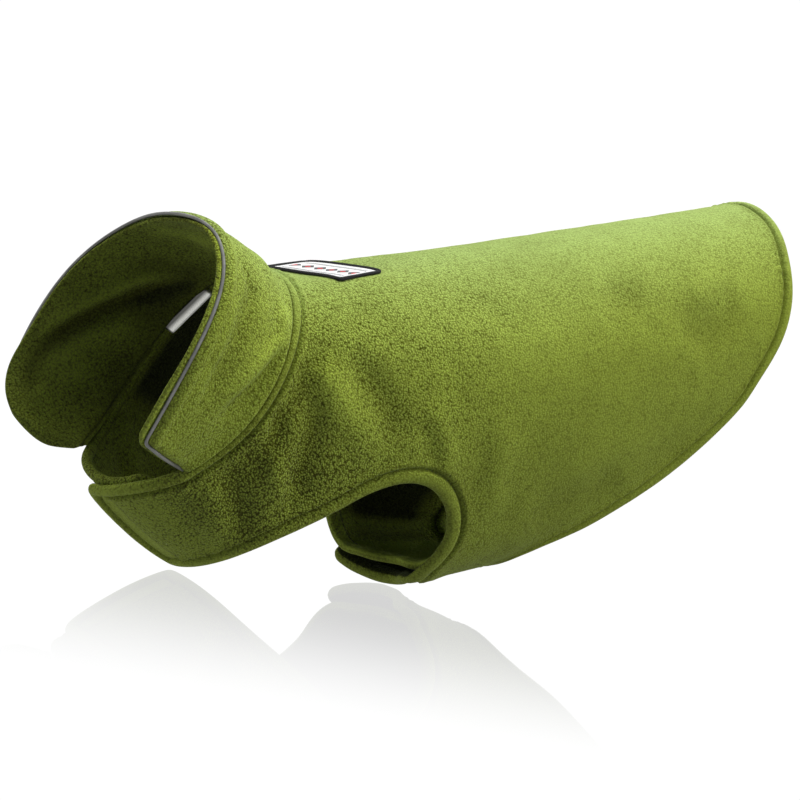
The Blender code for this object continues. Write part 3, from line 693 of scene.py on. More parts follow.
def add_piece(name, points, faces, slot, stands_for=(), attributes=None):
    """A smooth mesh object from points in millimetres, that rides on the coat."""
    used = np.unique(np.concatenate([np.asarray(f) for f in faces]))
    place = np.full(len(points), -1)
    place[used] = np.arange(len(used))
    mesh = bpy.data.meshes.new(name)
    mesh.from_pydata((points[used] * METRES).tolist(), [], [tuple(int(place[v]) for v in f) for f in faces])
    mesh.shade_smooth()
    for attribute, values in (attributes or {}).items():
        layer = mesh.attributes.new(attribute, "FLOAT", "POINT")
        layer.data.foreach_set("value", np.asarray(values, np.float32)[used])
    piece = new_object(name, mesh)
    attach(piece, "root")
    if stands_for:
        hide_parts(*stands_for)
    print(name, "has", len(mesh.vertices), "points and", len(mesh.polygons), "faces")
    return piece


def near_flap_end(station):
    """How far round the near chest flap reaches, in degrees."""
    return NEAR["chest_end"] - FLAP_TAPER * np.clip((station - FLAP_TOP) / FLAP_DEPTH, 0, 1)


def from_flap_end(station, turn):
    """Millimetres from the near chest flap's end, along the flap, and a great length elsewhere."""
    return np.where((turn < -120) & (station < 90), (near_flap_end(station) + turn) * FLAP_SCALE, 500.0)


def strip_sink(station, turn, edge_distance):
    """How much lower the pressed strip at the flap's end lies, with a groove at its stitched line."""
    along = from_flap_end(station, turn)
    inside = smoothstep(edge_distance, HEM_GROOVE - 1.5, HEM_GROOVE + 0.5)
    return -STRIP_SINK * (1 - smoothstep(along, STRIP_WIDTH - 0.4, STRIP_WIDTH + STRIP_BREAK)) * inside


hem_outer, hem_inner = hem_faces(body_station, body_turn, body_distance, body_along)
body_folds = fold_field(body_station, body_turn, body_distance)
body_strip = strip_sink(body_station, body_turn, body_distance)
outer_face = cloth_point(body_station, body_turn, hem_outer + body_folds + body_strip)
inner_face = cloth_point(body_station, body_turn, hem_inner + body_folds)
shell_points, shell_faces = closed_shell(body_faces, outer_face, inner_face)


def painted_top_light(turn):
    """A brighter, bluer tint painted on the pile's tips where light falls on the top: most along the spine, and not
    at all low down.
    """
    return 1 - smoothstep(np.abs(turn), 0, 78)


def pile_contrast(station, turn):
    """How open the pile is: matted and coarse on the chest and the shoulder, smooth on the flank and the tail. The
    second value also darkens the chest a little: partly its open pile and partly a painted shade.
    """
    low = smoothstep(np.abs(turn), 84, 108)
    chest = (1 - smoothstep(station, 70, 105)) * low
    shoulder = (1 - smoothstep(station, 95, 150)) * smoothstep(np.abs(turn), 42, 62) * (1 - low)
    flank = 0.13 * bump_at(np.abs(turn), 48, 18)
    return 0.44 + flank + 0.26 * (1 - smoothstep(station, 110, 200)) + 0.3 * chest + 0.24 * shoulder, 0.6 * chest


def painted_light_and_shade(station, turn):
    """Painted light on the near shoulder and the near flap's end, and a painted shade on the chest below the near
    side of the collar.
    """
    shoulder = 2.0 * bump_at(turn, -62, 22) * smoothstep(station, 30, 60) * (1 - smoothstep(station, 150, 230))
    shoulder -= 3.0 * bump_at(turn, -108, 13) * bump_at(station, 29, 16)
    return shoulder + 9.0 * smoothstep(-turn, 135, 153) * (1 - smoothstep(station, 60, 90))


def painted_inside_shade(station, turn, distance):
    """Painted shade inside the coat: black deep in the hollow and behind the near flaps, less down the far belly
    strap.
    """
    front = smoothstep(distance, 1, 12) * (1 - 0.8 * smoothstep(turn, 96, 110))
    middle = smoothstep(distance, 6, 26) * (1 - smoothstep(station, 230, 330))
    low = turn - 0.3 * (station - 157)
    lit = 0.55 * smoothstep(low, 142, 148) + 0.4 * smoothstep(low, 157, 163) - 0.2 * bump_at(low, 155, 2.5)
    middle *= 1 - lit
    far = front + (middle - front) * smoothstep(station, 60, 90)
    near = smoothstep(-turn, 138, 150) * smoothstep(station, 100, 120) * smoothstep(distance, 0.2, 1.0)
    return np.maximum(far, near)


def painted_light_inside(station, turn):
    """Painted light inside, down the far belly strap."""
    low = turn - 0.3 * (station - 157)
    return (6.5 * smoothstep(low, 142, 148) + 8.0 * smoothstep(low, 157, 163)) * smoothstep(station, 100, 120)


contrast, coarse = pile_contrast(body_station, body_turn)
contrast *= 1 - 0.6 * (body_strip / -STRIP_SINK)
contrast *= 1 - 0.45 * bump_at(body_distance, 3.5, 3.5)
# painted shade: the grooves, the neck seam and the step line at the strip are painted darker, as if in shadow
painted_shade = painted_groove_shade(body_station, body_turn, body_distance, body_along)
painted_step_shade = bump_at(from_flap_end(body_station, body_turn), STRIP_WIDTH + 0.6, 1.9)
painted_shade = np.maximum(painted_shade, 0.8 * painted_step_shade * smoothstep(body_distance, 4, 9))
shade_painted_inside = painted_inside_shade(body_station, body_turn, body_distance)
body_cloth = add_piece(
    "body_cloth", shell_points, shell_faces, "olive_fleece", ["body_panel"],
    {"pile": np.concatenate([contrast, np.full(len(contrast), 0.8)]),
     "coarse": np.concatenate([coarse, np.full(len(coarse), 0.2)]),
     # painted light and shade: the fold's height lightens ridges and darkens troughs, and the painted patches of
     # light and shade add to it
     "fold": np.concatenate([
         body_folds + painted_light_and_shade(body_station, body_turn), painted_light_inside(body_station, body_turn) - body_folds]),
     "top_light": np.concatenate([painted_top_light(body_turn), 0 * body_turn]),
     "painted_shade": np.concatenate([painted_shade, np.maximum(0.8 * painted_shade, shade_painted_inside)])})

# %% [markdown]
# ## The collar
# The collar is two layers of fleece, an outer one and a facing, sewn together round a corded piping and stitched
# to the neck. Both layers are puffed beside the cord, because the seam pulls them down to it, and the facing
# stands a little above the cord on the near side, where it rolls outward. Each layer is a closed grid over turn
# and height above the seam, with its rows set close together at the borders to round them.

# %% The collar's surface
COLLAR_LEAN = 42        # degrees from the back's line, for the directions of the rim's table
COLLAR_RIM = (
    # turn of the foot, forward, down, side
    (-131, 45.2, 140.6, -74.0), (-96, 55.7, 92.1, -82.2), (-64, 59.6, 44.0, -71.4), (-32, 66.2, 13.1, -40.6),
    (0, 71.0, 9.2, 0.4), (32, 67.1, 19.0, 41.2), (64, 63.9, 52.6, 72.8), (96, 57.0, 103.4, 82.5),
    (118, 48.0, 134.1, 77.7), (137, 35.0, 149.2, 64.0),
)
COLLAR_CROWN = 3.0      # how far the collar bows outward
COLLAR_CROWN_HIGH = 1.3 # above 1, the bow is fullest towards the rim
PIPING_RADIUS = 1.05

rim_at = natural_spline(COLLAR_RIM)


def collar_base(turn):
    turn = np.asarray(turn, float)
    return cloth_point(neck_station(np.abs(turn))[..., 0], turn, np.full(turn.shape, FLEECE))


def collar_rim(turn):
    forward, down, side = (rim_at(turn)[..., i] for i in range(3))
    lean = math.radians(COLLAR_LEAN)
    x = -forward * math.cos(lean) - down * math.sin(lean)
    return np.stack([x, side, forward * math.sin(lean) - down * math.cos(lean)], -1)


def collar_height(turn):
    return np.linalg.norm(collar_rim(turn) - collar_base(turn), axis=-1)


def collar_face(turn, height):
    """The collar's outer face, height millimetres above the seam."""
    turn, height = np.asarray(turn, float), np.asarray(height, float)
    foot, rim = collar_base(turn), collar_rim(turn)
    full = np.linalg.norm(rim - foot, axis=-1)
    up = (rim - foot) / full[..., None]
    around = unit(collar_rim(turn + 1) + collar_base(turn + 1) - collar_rim(turn - 1) - collar_base(turn - 1))
    share = np.sign(height) * np.abs(height / full) ** COLLAR_CROWN_HIGH
    bow = COLLAR_CROWN * np.sin(np.pi * share)
    return foot + up * height[..., None] + unit(np.cross(around, up)) * bow[..., None]


def collar_point(turn, height, inside):
    """A point of the collar, inside millimetres in from its outer face."""
    turn, height = np.asarray(turn, float), np.asarray(height, float)
    around = collar_face(turn + 0.5, height) - collar_face(turn - 0.5, height)
    up = collar_face(turn, height + 0.5) - collar_face(turn, height - 0.5)
    return collar_face(turn, height) - unit(np.cross(around, up)) * np.asarray(inside, float)[..., None]


print("the collar is", collar_height(np.array([-131.0, 0.0, 137.0])).round(1), "mm high at its ends and its middle")

# %% The collar's folds and its two layers
COLLAR_FOLDS = {
    # name: (width, depth, ((turn, height), ...)): both layers go out above 0 and in below it
    "near_rim_trough": (8, -3.4, ((-46, 40), (-62, 43), (-78, 44), (-95, 45), (-114, 42))),
    "near_rim_ridge": (3.5, 1.5, ((-60, 56), (-73, 55), (-88, 53), (-104, 50), (-120, 43))),
    "near_ridge": (6, 3.4, ((-40, 20), (-60, 9), (-70, 11), (-81, 20), (-95, 29), (-108, 34))),
    "near_foot_trough": (6, -3.6, ((-66, 3), (-76, 7), (-90, 15), (-101, 19), (-114, 21))),
    "near_foot_ridge": (5, 1.2, ((-46, 10), (-56, 11), (-64, 8))),
    "near_top_crease": (4, -1.5, ((-42, 54), (-49, 49), (-56, 43), (-63, 36))),
    "top_ridge": (9, 1.6, ((-6, 20), (-26, 24), (-44, 30))),
    "top_dent": (12, -1.8, ((-14, 42), (0, 36), (16, 42))),
    "far_hollow": (6.5, 3.4, ((104, 66), (94, 59), (84, 50), (73, 38), (64, 29), (54, 19), (39, 6))),
    "far_crease": (6, -3.4, ((99, 70), (91, 66), (81, 58), (70, 47), (59, 38), (47, 28), (31, 17))),
    "far_ridge": (7, -2.2, ((104, 47), (91, 41), (82, 32), (76, 23), (67, 12))),
    "far_low_hollow": (7, 2.2, ((118, 30), (106, 18), (94, 13), (80, 9))),
    "far_end_ridge": (7, -1.6, ((130, 44), (118, 46), (112, 34))),
}
CORNERS = (1.8, 12)     # radii of the outer layer's two top corners, near and far
FACING_CORNERS = (7, 19)
FACING_PAST = (2.4, 5.8)        # how many degrees the facing reaches past the outer layer's ends
BORDER_STEPS = (0, 0.12, 0.45, 1.0, 1.7, 2.7, 4.0)      # distances of the rows of points from a border
SOFT_EDGE = 1.6         # the radius of a layer's edge


def with_fine_borders(length, step):
    """Distances from 0 to the length, close together at both ends."""
    ends = np.array(BORDER_STEPS)
    middle = np.linspace(ends[-1], length - ends[-1], round((length - 2 * ends[-1]) / step))
    return np.concatenate([ends, middle[1:-1], (length - ends)[::-1]])


def grid_triangles(rows, columns):
    a = (np.arange(rows - 1)[:, None] * columns + np.arange(columns - 1)[None]).ravel()
    b, c, d = a + 1, a + columns + 1, a + columns
    return np.concatenate([np.stack([a, b, c], -1), np.stack([a, c, d], -1)])


def collar_grid(from_turn, to_turn, foot, rise, corner):
    """Turns and heights over the collar, from its foot to a rise above its rim, with two rounded top corners."""
    length = float(np.linalg.norm(np.diff(collar_rim(np.linspace(from_turn, to_turn, 200)), axis=0), axis=1).sum())
    across = with_fine_borders(length, 2.2) / length
    up = with_fine_borders(60, 2.0) / 60
    share_up, share_across = np.meshgrid(up, across, indexing="ij")
    plain_turn = from_turn + (to_turn - from_turn) * share_across
    depth = (collar_height(plain_turn) + rise(plain_turn) - foot(plain_turn)) * (1 - share_up)
    from_end = np.minimum(share_across, 1 - share_across) * length
    radius = np.where(plain_turn < 0, corner[0], corner[1])
    below_top = np.clip(radius - depth, 0, radius)
    pulled = radius - np.sqrt(radius ** 2 - below_top ** 2)
    pulled *= 1 - smoothstep(from_end, 0, 4 * radius)
    turn = plain_turn - np.sign(plain_turn) * pulled * (to_turn - from_turn) / length
    top, bottom = collar_height(turn) + rise(turn), foot(turn)
    height = bottom + (top - bottom) * share_up
    border = np.minimum(from_end, np.minimum(height - bottom, top - height))
    return turn.ravel(), height.ravel(), border.ravel(), (top - height).ravel(), share_up.shape


def folds_on_collar(turn, height, folds):
    places = collar_face(turn, height)
    total = np.zeros(len(turn))
    for width, depth, points in folds.values():
        path = spline_through(points, 40)
        total += fold_height(places, collar_face(*path.T), width, depth)
    return total


INSIDE_SHADOWS = {
    # name: (width, darkness, ((turn, height), ...)): painted shade inside the collar, where its creases and the seam
    # lie in shadow
    "crease": (6, 0.6, (
        (30, -4), (36, 4), (52, 15), (66, 27), (76, 40), (86, 49), (95, 56), (105, 58), (118, 51), (128, 44),
        (138, 36))),
    "under_top": (8, 0.6, ((68, 48), (47, 38), (41, 25), (33, 14), (22, 0))),
    "beside_tag": (11, 0.6, ((36, -4), (45, 6), (58, 12), (70, 16), (84, 14))),
    "along_seam": (10, 0.55, ((40, 0), (64, 0), (87, 0), (108, 2), (130, 4))),
}
INSIDE_LIGHT = {
    # name: (width, lightness, ((turn, height), ...))
    "top_rim": (8, 6.0, ((30, 62), (20, 56), (12, 48), (2, 41), (-8, 36))),
    "far_middle": (13, 6.0, ((98, 58), (100, 47), (103, 30), (104, 14), (105, 4))),
}


def collar_layer(name, grid, outer_depth, inner_depth, outward, side, stands_for):
    """One layer of the collar, between two depths below its outer face: side is 1 for the outer one, -1 inside."""
    turn, height, border, below_top, shape = grid
    half = (inner_depth - outer_depth) / 2
    middle = (inner_depth + outer_depth) / 2 - outward
    edge = rounded(border, SOFT_EDGE)
    outer = collar_point(turn, height, middle - half * edge)
    inner = collar_point(turn, height, middle + half * edge)
    points, faces = closed_shell(grid_triangles(*shape), outer, inner)
    # painted shade: a dark line along the layer's foot at the neck seam, where a puffed layer overhangs it
    painted_shade = np.tile(0.9 * bump_at(height, GAP, 1.5) * smoothstep(outward.max() - 2, 0, 1), 2)
    # painted light and shade: the folds lighten ridges and darken troughs, more strongly inside; the near outer layer
    # and the near facing's top band are painted lighter, the facing's top near the back's middle is painted darker,
    # and painted light lies inside
    collar_light_and_shade = side * shared_folds(turn, height, border) * (1.0 if side > 0 else 2.4)
    if side > 0:
        collar_light_and_shade += 3.0 * smoothstep(-turn, 30, 110)
    else:
        collar_light_and_shade += 8.0 * smoothstep(-turn, 96, 122) * bump_at(below_top, 2.0, 6.0)
        collar_light_and_shade -= 5.0 * bump_at(turn, -24, 28) * bump_at(below_top, 0, 8.0)
        collar_light_and_shade += folds_on_collar(turn, height, INSIDE_LIGHT)
        painted_shade = np.maximum(painted_shade, np.tile(np.clip(folds_on_collar(turn, height, INSIDE_SHADOWS), 0, 0.9), 2))
    pile = {"pile": np.full(len(points), 0.78), "coarse": np.full(len(points), 0.2), "painted_shade": painted_shade,
            "fold": np.tile(collar_light_and_shade, 2), "top_light": np.tile(painted_top_light(turn) * (side > 0), 2)}
    return add_piece(name, points, faces, "olive_fleece", stands_for, pile)


def shared_folds(turn, height, border):
    """The folds of both layers, which keep clear of the borders."""
    soft = 0.5 * cloth_noise(collar_face(turn, height), 22, 5)
    return (folds_on_collar(turn, height, COLLAR_FOLDS) + soft) * smoothstep(border, 1, 10)


def outer_layer_bulge(grid):
    """The outer layer puffs up beside the cord and over the neck seam."""
    turn, height, border, below_top, _ = grid
    near_rim = 1.7 * bump_at(below_top, 4.5, 3.0) * smoothstep(-turn, -60, 10)
    over_seam = 2.6 * bump_at(height, 3.2, 3.4) * neck_softness(turn)
    end_puff = 0.7 * bump_at(border, 4.0, 2.5)
    return near_rim + over_seam + end_puff + shared_folds(turn, height, border)


def facing_rise(turn):
    """How far the facing stands above the cord's seam: most on the near side, where it rolls outward."""
    turn = np.asarray(turn, float)
    near = 3.4 * smoothstep(-turn, -5, 45) + 1.4 * smoothstep(-turn, 90, 115)
    return 1.2 + near + 1.0 * smoothstep(turn, 20, 70) + 1.8 * smoothstep(turn, 84, 108)


def facing_foot(turn):
    """How far the facing's foot is above the neck seam: it hangs below the seam, except over the tag."""
    at_tag = smoothstep(turn, 30, 38) * (1 - smoothstep(turn, 73, 81))
    return -2.6 + 2.2 * at_tag


outer_grid = collar_grid(
    -COLLAR_NEAR_END, COLLAR_FAR_END, lambda turn: 0 * turn + GAP, lambda turn: 0 * turn, CORNERS)
collar_outer = collar_layer(
    "collar_outer", outer_grid, 0, COLLAR_FLEECE, outer_layer_bulge(outer_grid), 1, ["collar"])

facing_grid = collar_grid(
    -COLLAR_NEAR_END - FACING_PAST[0], COLLAR_FAR_END + FACING_PAST[1], facing_foot, facing_rise, FACING_CORNERS)
facing_turn, facing_height, facing_border, facing_below, _ = facing_grid
facing_bulge = shared_folds(facing_turn, facing_height, facing_border)
facing_bulge += 1.4 * bump_at(facing_below, 1.8, 2.4) * smoothstep(-facing_turn, 0, 45)
over_cord = smoothstep(facing_turn, 92, 112) * smoothstep(facing_height, -2, 6)
facing_bulge += 3.0 * bump_at(facing_border, 0, 4.0) * over_cord
facing_low = COLLAR_FLEECE + GAP
collar_facing = collar_layer(
    "collar_inner", facing_grid, facing_low, facing_low + COLLAR_FLEECE, facing_bulge, -1, ["collar_facing"])

# %% [markdown]
# ## The piping
# The cord is a strip of grey tape folded over a string and caught in the seam. It runs up one short end of the
# collar, round the rim and down the other end. A tube along one line shows it well, as long as its line turns the
# corners in small steps.

# %% Piping
PIPING_STEP = 1.2


def between_rings(rings, sides, closed=False):
    """Four-cornered faces between neighbouring rings of points, numbered ring by ring."""
    faces = []
    for k in range(rings if closed else rings - 1):
        here, there = k * sides, (k + 1) % rings * sides
        for i in range(sides):
            j = (i + 1) % sides
            faces.append((here + i, there + i, there + j, here + j))
    return faces


def tube(line, radius, sides):
    """Points and faces of a closed tube along a line of points."""
    tangent = unit(np.gradient(line, axis=0))
    side = np.cross(tangent[0], (0, 0, 1.0))
    frames = []
    for way in tangent:
        side = unit(side - way * (side @ way))
        frames.append((side, np.cross(way, side)))
    angles = np.arange(sides) * 2 * math.pi / sides
    radius = np.broadcast_to(radius, len(line))
    rings = [
        middle + r * (np.cos(angles)[:, None] * a + np.sin(angles)[:, None] * b)
        for middle, r, (a, b) in zip(line, radius, frames)
    ]
    points = np.concatenate([*rings, line[:1], line[-1:]])
    faces = [(a, d, c, b) for a, b, c, d in between_rings(len(line), sides)]
    first, last = len(points) - 2, len(points) - 1
    for i in range(sides):
        j = (i + 1) % sides
        faces.append((first, j, i))
        faces.append((last, (len(line) - 1) * sides + i, (len(line) - 1) * sides + j))
    return points, faces


def even_line(points, step):
    length = np.concatenate([[0], np.cumsum(np.linalg.norm(np.diff(points, axis=0), axis=1))])
    at = np.linspace(0, length[-1], round(length[-1] / step) + 1)
    return np.stack([np.interp(at, length, points[:, i]) for i in range(3)], -1)


def piping_end(end, way, corner):
    """The cord's line up one short end of the collar and round its corner."""
    clear = PIPING_RADIUS + GAP / 2
    degree = float(np.linalg.norm(collar_rim(end + 0.5) - collar_rim(end - 0.5)))
    low = np.linspace(PIPING_RADIUS, float(collar_height(end)) - corner, 12)
    low_degree = np.linalg.norm(collar_face(end + 0.5, low) - collar_face(end - 0.5, low), axis=-1)
    angle = np.radians(np.linspace(0, 90, 10))
    turn = end + way * ((corner + clear) * np.cos(angle) - corner) / degree
    high = collar_height(turn) - corner + (corner + clear) * np.sin(angle)
    turns, heights = np.concatenate([end + way * clear / low_degree, turn]), np.concatenate([low, high])
    return collar_point(turns, heights, np.full(len(turns), PIPING_RADIUS - 0.2))


rim_turns = np.linspace(-COLLAR_NEAR_END + 3, COLLAR_FAR_END - 11, 160)
rim_line = collar_point(
    rim_turns, collar_height(rim_turns) + PIPING_RADIUS + GAP / 2, np.full(160, PIPING_RADIUS - 0.2))
cord_line = even_line(
    np.concatenate([
        piping_end(-COLLAR_NEAR_END, -1, CORNERS[0]), rim_line, piping_end(COLLAR_FAR_END, 1, CORNERS[1])[::-1]]),
    PIPING_STEP)
cord_points, cord_faces = tube(cord_line, PIPING_RADIUS, 14)
piping = add_piece("piping_cord", cord_points, cord_faces, "grey_piping", ["collar_piping"])
print("the piping is", round(PIPING_STEP * len(cord_line)), "mm long")

# %% [markdown]
# ## Topstitching
# Thread lies in every groove as short stitches with a small gap between them, on both faces of the hem. Each
# stitch is a thin rod that dips at its ends, as thread does where it goes down into the cloth. One mesh holds
# them all.

# %% Stitches
STITCH = 3.0
STITCH_GAP = 0.7
THREAD = 0.27           # the thread's radius


def joined(parts):
    """Several meshes' points and faces as one."""
    points, faces, count = [], [], 0
    for its_points, its_faces in parts:
        points.append(its_points)
        faces += [tuple(v + count for v in f) for f in its_faces]
        count += len(its_points)
    return np.concatenate(points), faces


def stitched(places, outward):
    """Points and faces of stitches along a line of places, each with the way out of the cloth."""
    run = np.concatenate([[0], np.cumsum(np.linalg.norm(np.diff(places, axis=0), axis=1))])
    rods = []
    for start in np.arange(0, run[-1] - STITCH, STITCH + STITCH_GAP):
        at = start + STITCH * np.array([0, 0.18, 0.5, 0.82, 1.0])
        line = np.stack([np.interp(at, run, places[:, i]) for i in range(3)], -1)
        out = unit(np.stack([np.interp(at, run, outward[:, i]) for i in range(3)], -1))
        line += out * (THREAD * np.array([-1.2, 0.2, 0.6, 0.2, -1.2]))[:, None]
        rods.append(tube(line, THREAD * np.array([0.7, 1, 1.05, 1, 0.7]), 6))
    return joined(rods)


def line_on_body(station, turn, face):
    """Places of a line on the finished cloth and the way out, for its outer or its inner face."""
    distance, along = find_edge(station, turn)
    outer, inner = hem_faces(station, turn, distance, along)
    folds = fold_field(station, turn, distance)
    out = outer + folds + strip_sink(station, turn, distance) if face == "outer" else inner + folds
    normal = form_normal(station, turn)
    return cloth_point(station, turn, out), normal if face == "outer" else -normal


def runs_of(chosen):
    """Start and stop of each unbroken run of chosen points in a closed loop."""
    starts = np.flatnonzero(chosen & ~np.roll(chosen, 1))
    stops = np.flatnonzero(chosen & ~np.roll(chosen, -1))
    if len(starts) and stops[0] < starts[0]:
        stops = np.roll(stops, -1)
        stops[-1] += len(chosen)
    return list(zip(starts, stops))


def hem_groove_line():
    """The hem's groove as (station, turn), between two lines at its least and its greatest distance."""
    row = from_flat(resample(inset(body_outline, HEM_GROOVE, 1.0), 1.0))
    for _ in range(3):
        away = hem_width(*row.T) - find_edge(*row.T)[0]
        flat = to_flat(row)
        way = unit(np.roll(flat, -3, axis=0) - np.roll(flat, 3, axis=0))
        inward = np.stack([-way[:, 1], way[:, 0]], -1) * np.sign(signed_area(flat))
        row = from_flat(flat + inward * np.clip(away, -1, 1)[:, None])
    return row


stitch_rows = []
hem_row = hem_groove_line()
neck_row = from_flat(resample(inset(body_outline, NECK_GROOVE, 1.0), 1.0))
for row, at_collar, faces in ((hem_row, False, ("outer", "inner")), (neck_row, True, ("outer",))):
    for start, stop in runs_of((under_collar(*row.T) > 0.5) == at_collar):
        part_of_row = row[np.arange(start, stop + 1) % len(row)]
        for face in faces:
            stitch_rows.append(stitched(*line_on_body(*part_of_row.T, face)))

strip_station = np.linspace(1.5, 42, 60)
strip_turn = -(near_flap_end(strip_station) - (STRIP_WIDTH - 0.6) / FLAP_SCALE)
stitch_rows.append(stitched(*line_on_body(strip_station, strip_turn, "outer")))
stitches = add_piece("topstitching", *joined(stitch_rows), "olive_fleece")

# %% [markdown]
# ## The patch
# The woven patch is a small rounded panel with an overlocked edge: thread wound so densely round the rim that it
# makes a raised cord with slanting ridges. The panel lies on the back's own surface. The edge is a band of its
# own, with each turn of thread as real relief, because it is what shows from low down. The motif is a plain row
# of diamonds, which belongs to no maker.

# %% Patch and its overlocked edge
BAND_WIDTH = 3.4
BAND_HEIGHT = 1.7
BAND_STEP = 0.24
BAND_SIDES = 12
THREAD_PITCH = 0.95
PATCH_STEP = 1.4


def rounded_rectangle(along, across, corner, arc=8):
    points = []
    for quarter, (sign_x, sign_y) in enumerate(((1, 1), (-1, 1), (-1, -1), (1, -1))):
        centre = np.array([sign_x * (along / 2 - corner), sign_y * (across / 2 - corner)])
        for angle in np.radians(np.linspace(quarter * 90, quarter * 90 + 90, arc)):
            points.append(centre + corner * np.array([math.cos(angle), math.sin(angle)]))
    return np.array(points)


def on_patch(along, across, out):
    """A place on the back from the patch's own axes, its normal too."""
    skew = math.radians(PATCH_SKEW)
    x = PATCH_X + along * math.cos(skew) + across * math.sin(skew)
    y = -along * math.sin(skew) + across * math.cos(skew)
    turn = np.degrees(np.arcsin(y / section_at(x)[..., 3]))
    return cloth_point(x + 1, turn, np.asarray(out, float))


patch_low = FLEECE + GAP
patch_edge = resample(rounded_rectangle(PATCH_ALONG, PATCH_ACROSS, PATCH_CORNER), PATCH_STEP)
patch_flat, patch_faces = triangulate(patch_edge, [], PATCH_STEP)
patch_top = on_patch(*patch_flat.T, np.full(len(patch_flat), patch_low + 0.6))
patch_under = on_patch(*patch_flat.T, np.full(len(patch_flat), patch_low))
patch = add_piece(
    "woven_patch", *closed_shell(patch_faces, patch_top, patch_under), "white_twill", ["back_patch"],
    {"patch_along": np.tile(patch_flat[:, 0], 2), "patch_across": np.tile(patch_flat[:, 1], 2)})

band_middle = resample(
    rounded_rectangle(PATCH_ALONG - BAND_WIDTH + 0.4, PATCH_ACROSS - BAND_WIDTH + 0.4, PATCH_CORNER - 1.4), BAND_STEP)
band_way = unit(np.roll(band_middle, -1, axis=0) - np.roll(band_middle, 1, axis=0))
band_out = np.stack([band_way[:, 1], -band_way[:, 0]], -1)
band_run = np.arange(len(band_middle)) * BAND_STEP
band_points = []
for i in range(BAND_SIDES):
    angle = 2 * math.pi * i / BAND_SIDES
    sideways = BAND_WIDTH / 2 * math.cos(angle)
    ridge = 0.16 * (1 + np.sin(2 * math.pi * (band_run + 0.35 * sideways) / THREAD_PITCH))
    lift = patch_low + 0.35 + max(math.sin(angle), -0.25) * BAND_HEIGHT * 0.6 + ridge * max(math.sin(angle), 0)
    flat_place = band_middle + band_out * (sideways * (1 + 0.05 * ridge[:, None] * np.sign(sideways)))
    band_points.append(on_patch(*flat_place.T, lift))
band_points = np.stack(band_points, 1).reshape(-1, 3)
band_faces = between_rings(len(band_middle), BAND_SIDES, closed=True)
patch_band = add_piece("patch_overlock", band_points, band_faces, "black_thread", ["back_patch_border"])

# %% [markdown]
# ## The neck tag
# Inside the neck seam sits a short folded loop of satin tape. One smooth strip follows the fold: it comes out of
# the seam, turns round, and goes back in.

# %% Neck tag
TAG_FROM, TAG_TO = 42, 69           # degrees round
TAG_DEPTH = 5.5         # how far it stands out of the seam
TAG_TAPE = 0.5          # thickness of its satin
TAG_FOLD = 1.05         # outer radius of its fold
TAG_SLACK = 3.4         # how much higher the upper leaf stands at the seam than at the fold
TAG_BELOW_SEAM = 0.6
TAG_RINGS = 24


def tag_section():
    """The folded tape's section: out of the seam, round the fold and back, as a closed ring."""
    straight = TAG_DEPTH - TAG_FOLD
    ring = []
    for radius, order in ((TAG_FOLD, 1), (TAG_FOLD - TAG_TAPE, -1)):
        angles = np.linspace(math.pi / 2, -math.pi / 2, 13)
        arc = [(straight + radius * math.cos(t), radius * math.sin(t)) for t in angles]
        leaf = [(x, radius + TAG_SLACK * (1 - x / straight)) for x in np.linspace(GAP, straight, 6)[:-1]]
        back = [(x, -radius) for x in np.linspace(straight, GAP, 6)[1:]]
        ring += [*leaf, *arc, *back][::order]
    return np.array(ring)


tag_ring = tag_section()
tag_turns = np.array([TAG_FROM, TAG_TO], float)
tag_stations = neck_station(tag_turns)[:, 0] + TAG_FOLD + TAG_BELOW_SEAM
tag_ends = form_point(tag_stations, tag_turns)
tag_share = np.linspace(0, 1, TAG_RINGS)
tag_root = tag_ends[:1] + (tag_ends[1:] - tag_ends[:1]) * tag_share[:, None]
tag_inward = np.repeat(-form_normal(*np.mean([tag_stations, tag_turns], axis=1)[:, None]), TAG_RINGS, axis=0)
tag_up = unit(form_point(tag_stations - 1, tag_turns) - tag_ends).mean(0)[None]
tag_points = tag_root[:, None] + tag_inward[:, None] * tag_ring[:, :1] + tag_up[:, None] * tag_ring[:, 1:]
tag_points = tag_points.reshape(-1, 3)
tag_faces = between_rings(TAG_RINGS, len(tag_ring))
last_ring = (TAG_RINGS - 1) * len(tag_ring)
tag_faces += [tuple(range(len(tag_ring))), tuple(last_ring + i for i in range(len(tag_ring)))[::-1]]
# painted shade: the upper leaf's top face is coloured dark, as if in the collar's shadow
shaded = (tag_ring[:, 1] > 0) * (1 - smoothstep(tag_ring[:, 0], TAG_DEPTH - 3.2, TAG_DEPTH - 2.2))
leaf_painted_shade = np.tile(shaded, TAG_RINGS)
neck_tag = add_piece("neck_tag_satin", tag_points, tag_faces, "grey_satin", ["neck_tag"], {"painted_leaf_shade": leaf_painted_shade})

# %% [markdown]
# ## Materials
# Shader maths is easier to read as Python than as dozens of node calls, so a small class wraps a socket: adding,
# multiplying or comparing two of them makes the Math node. One method makes every other node, for the cloth's
# materials here and for the stage later on.

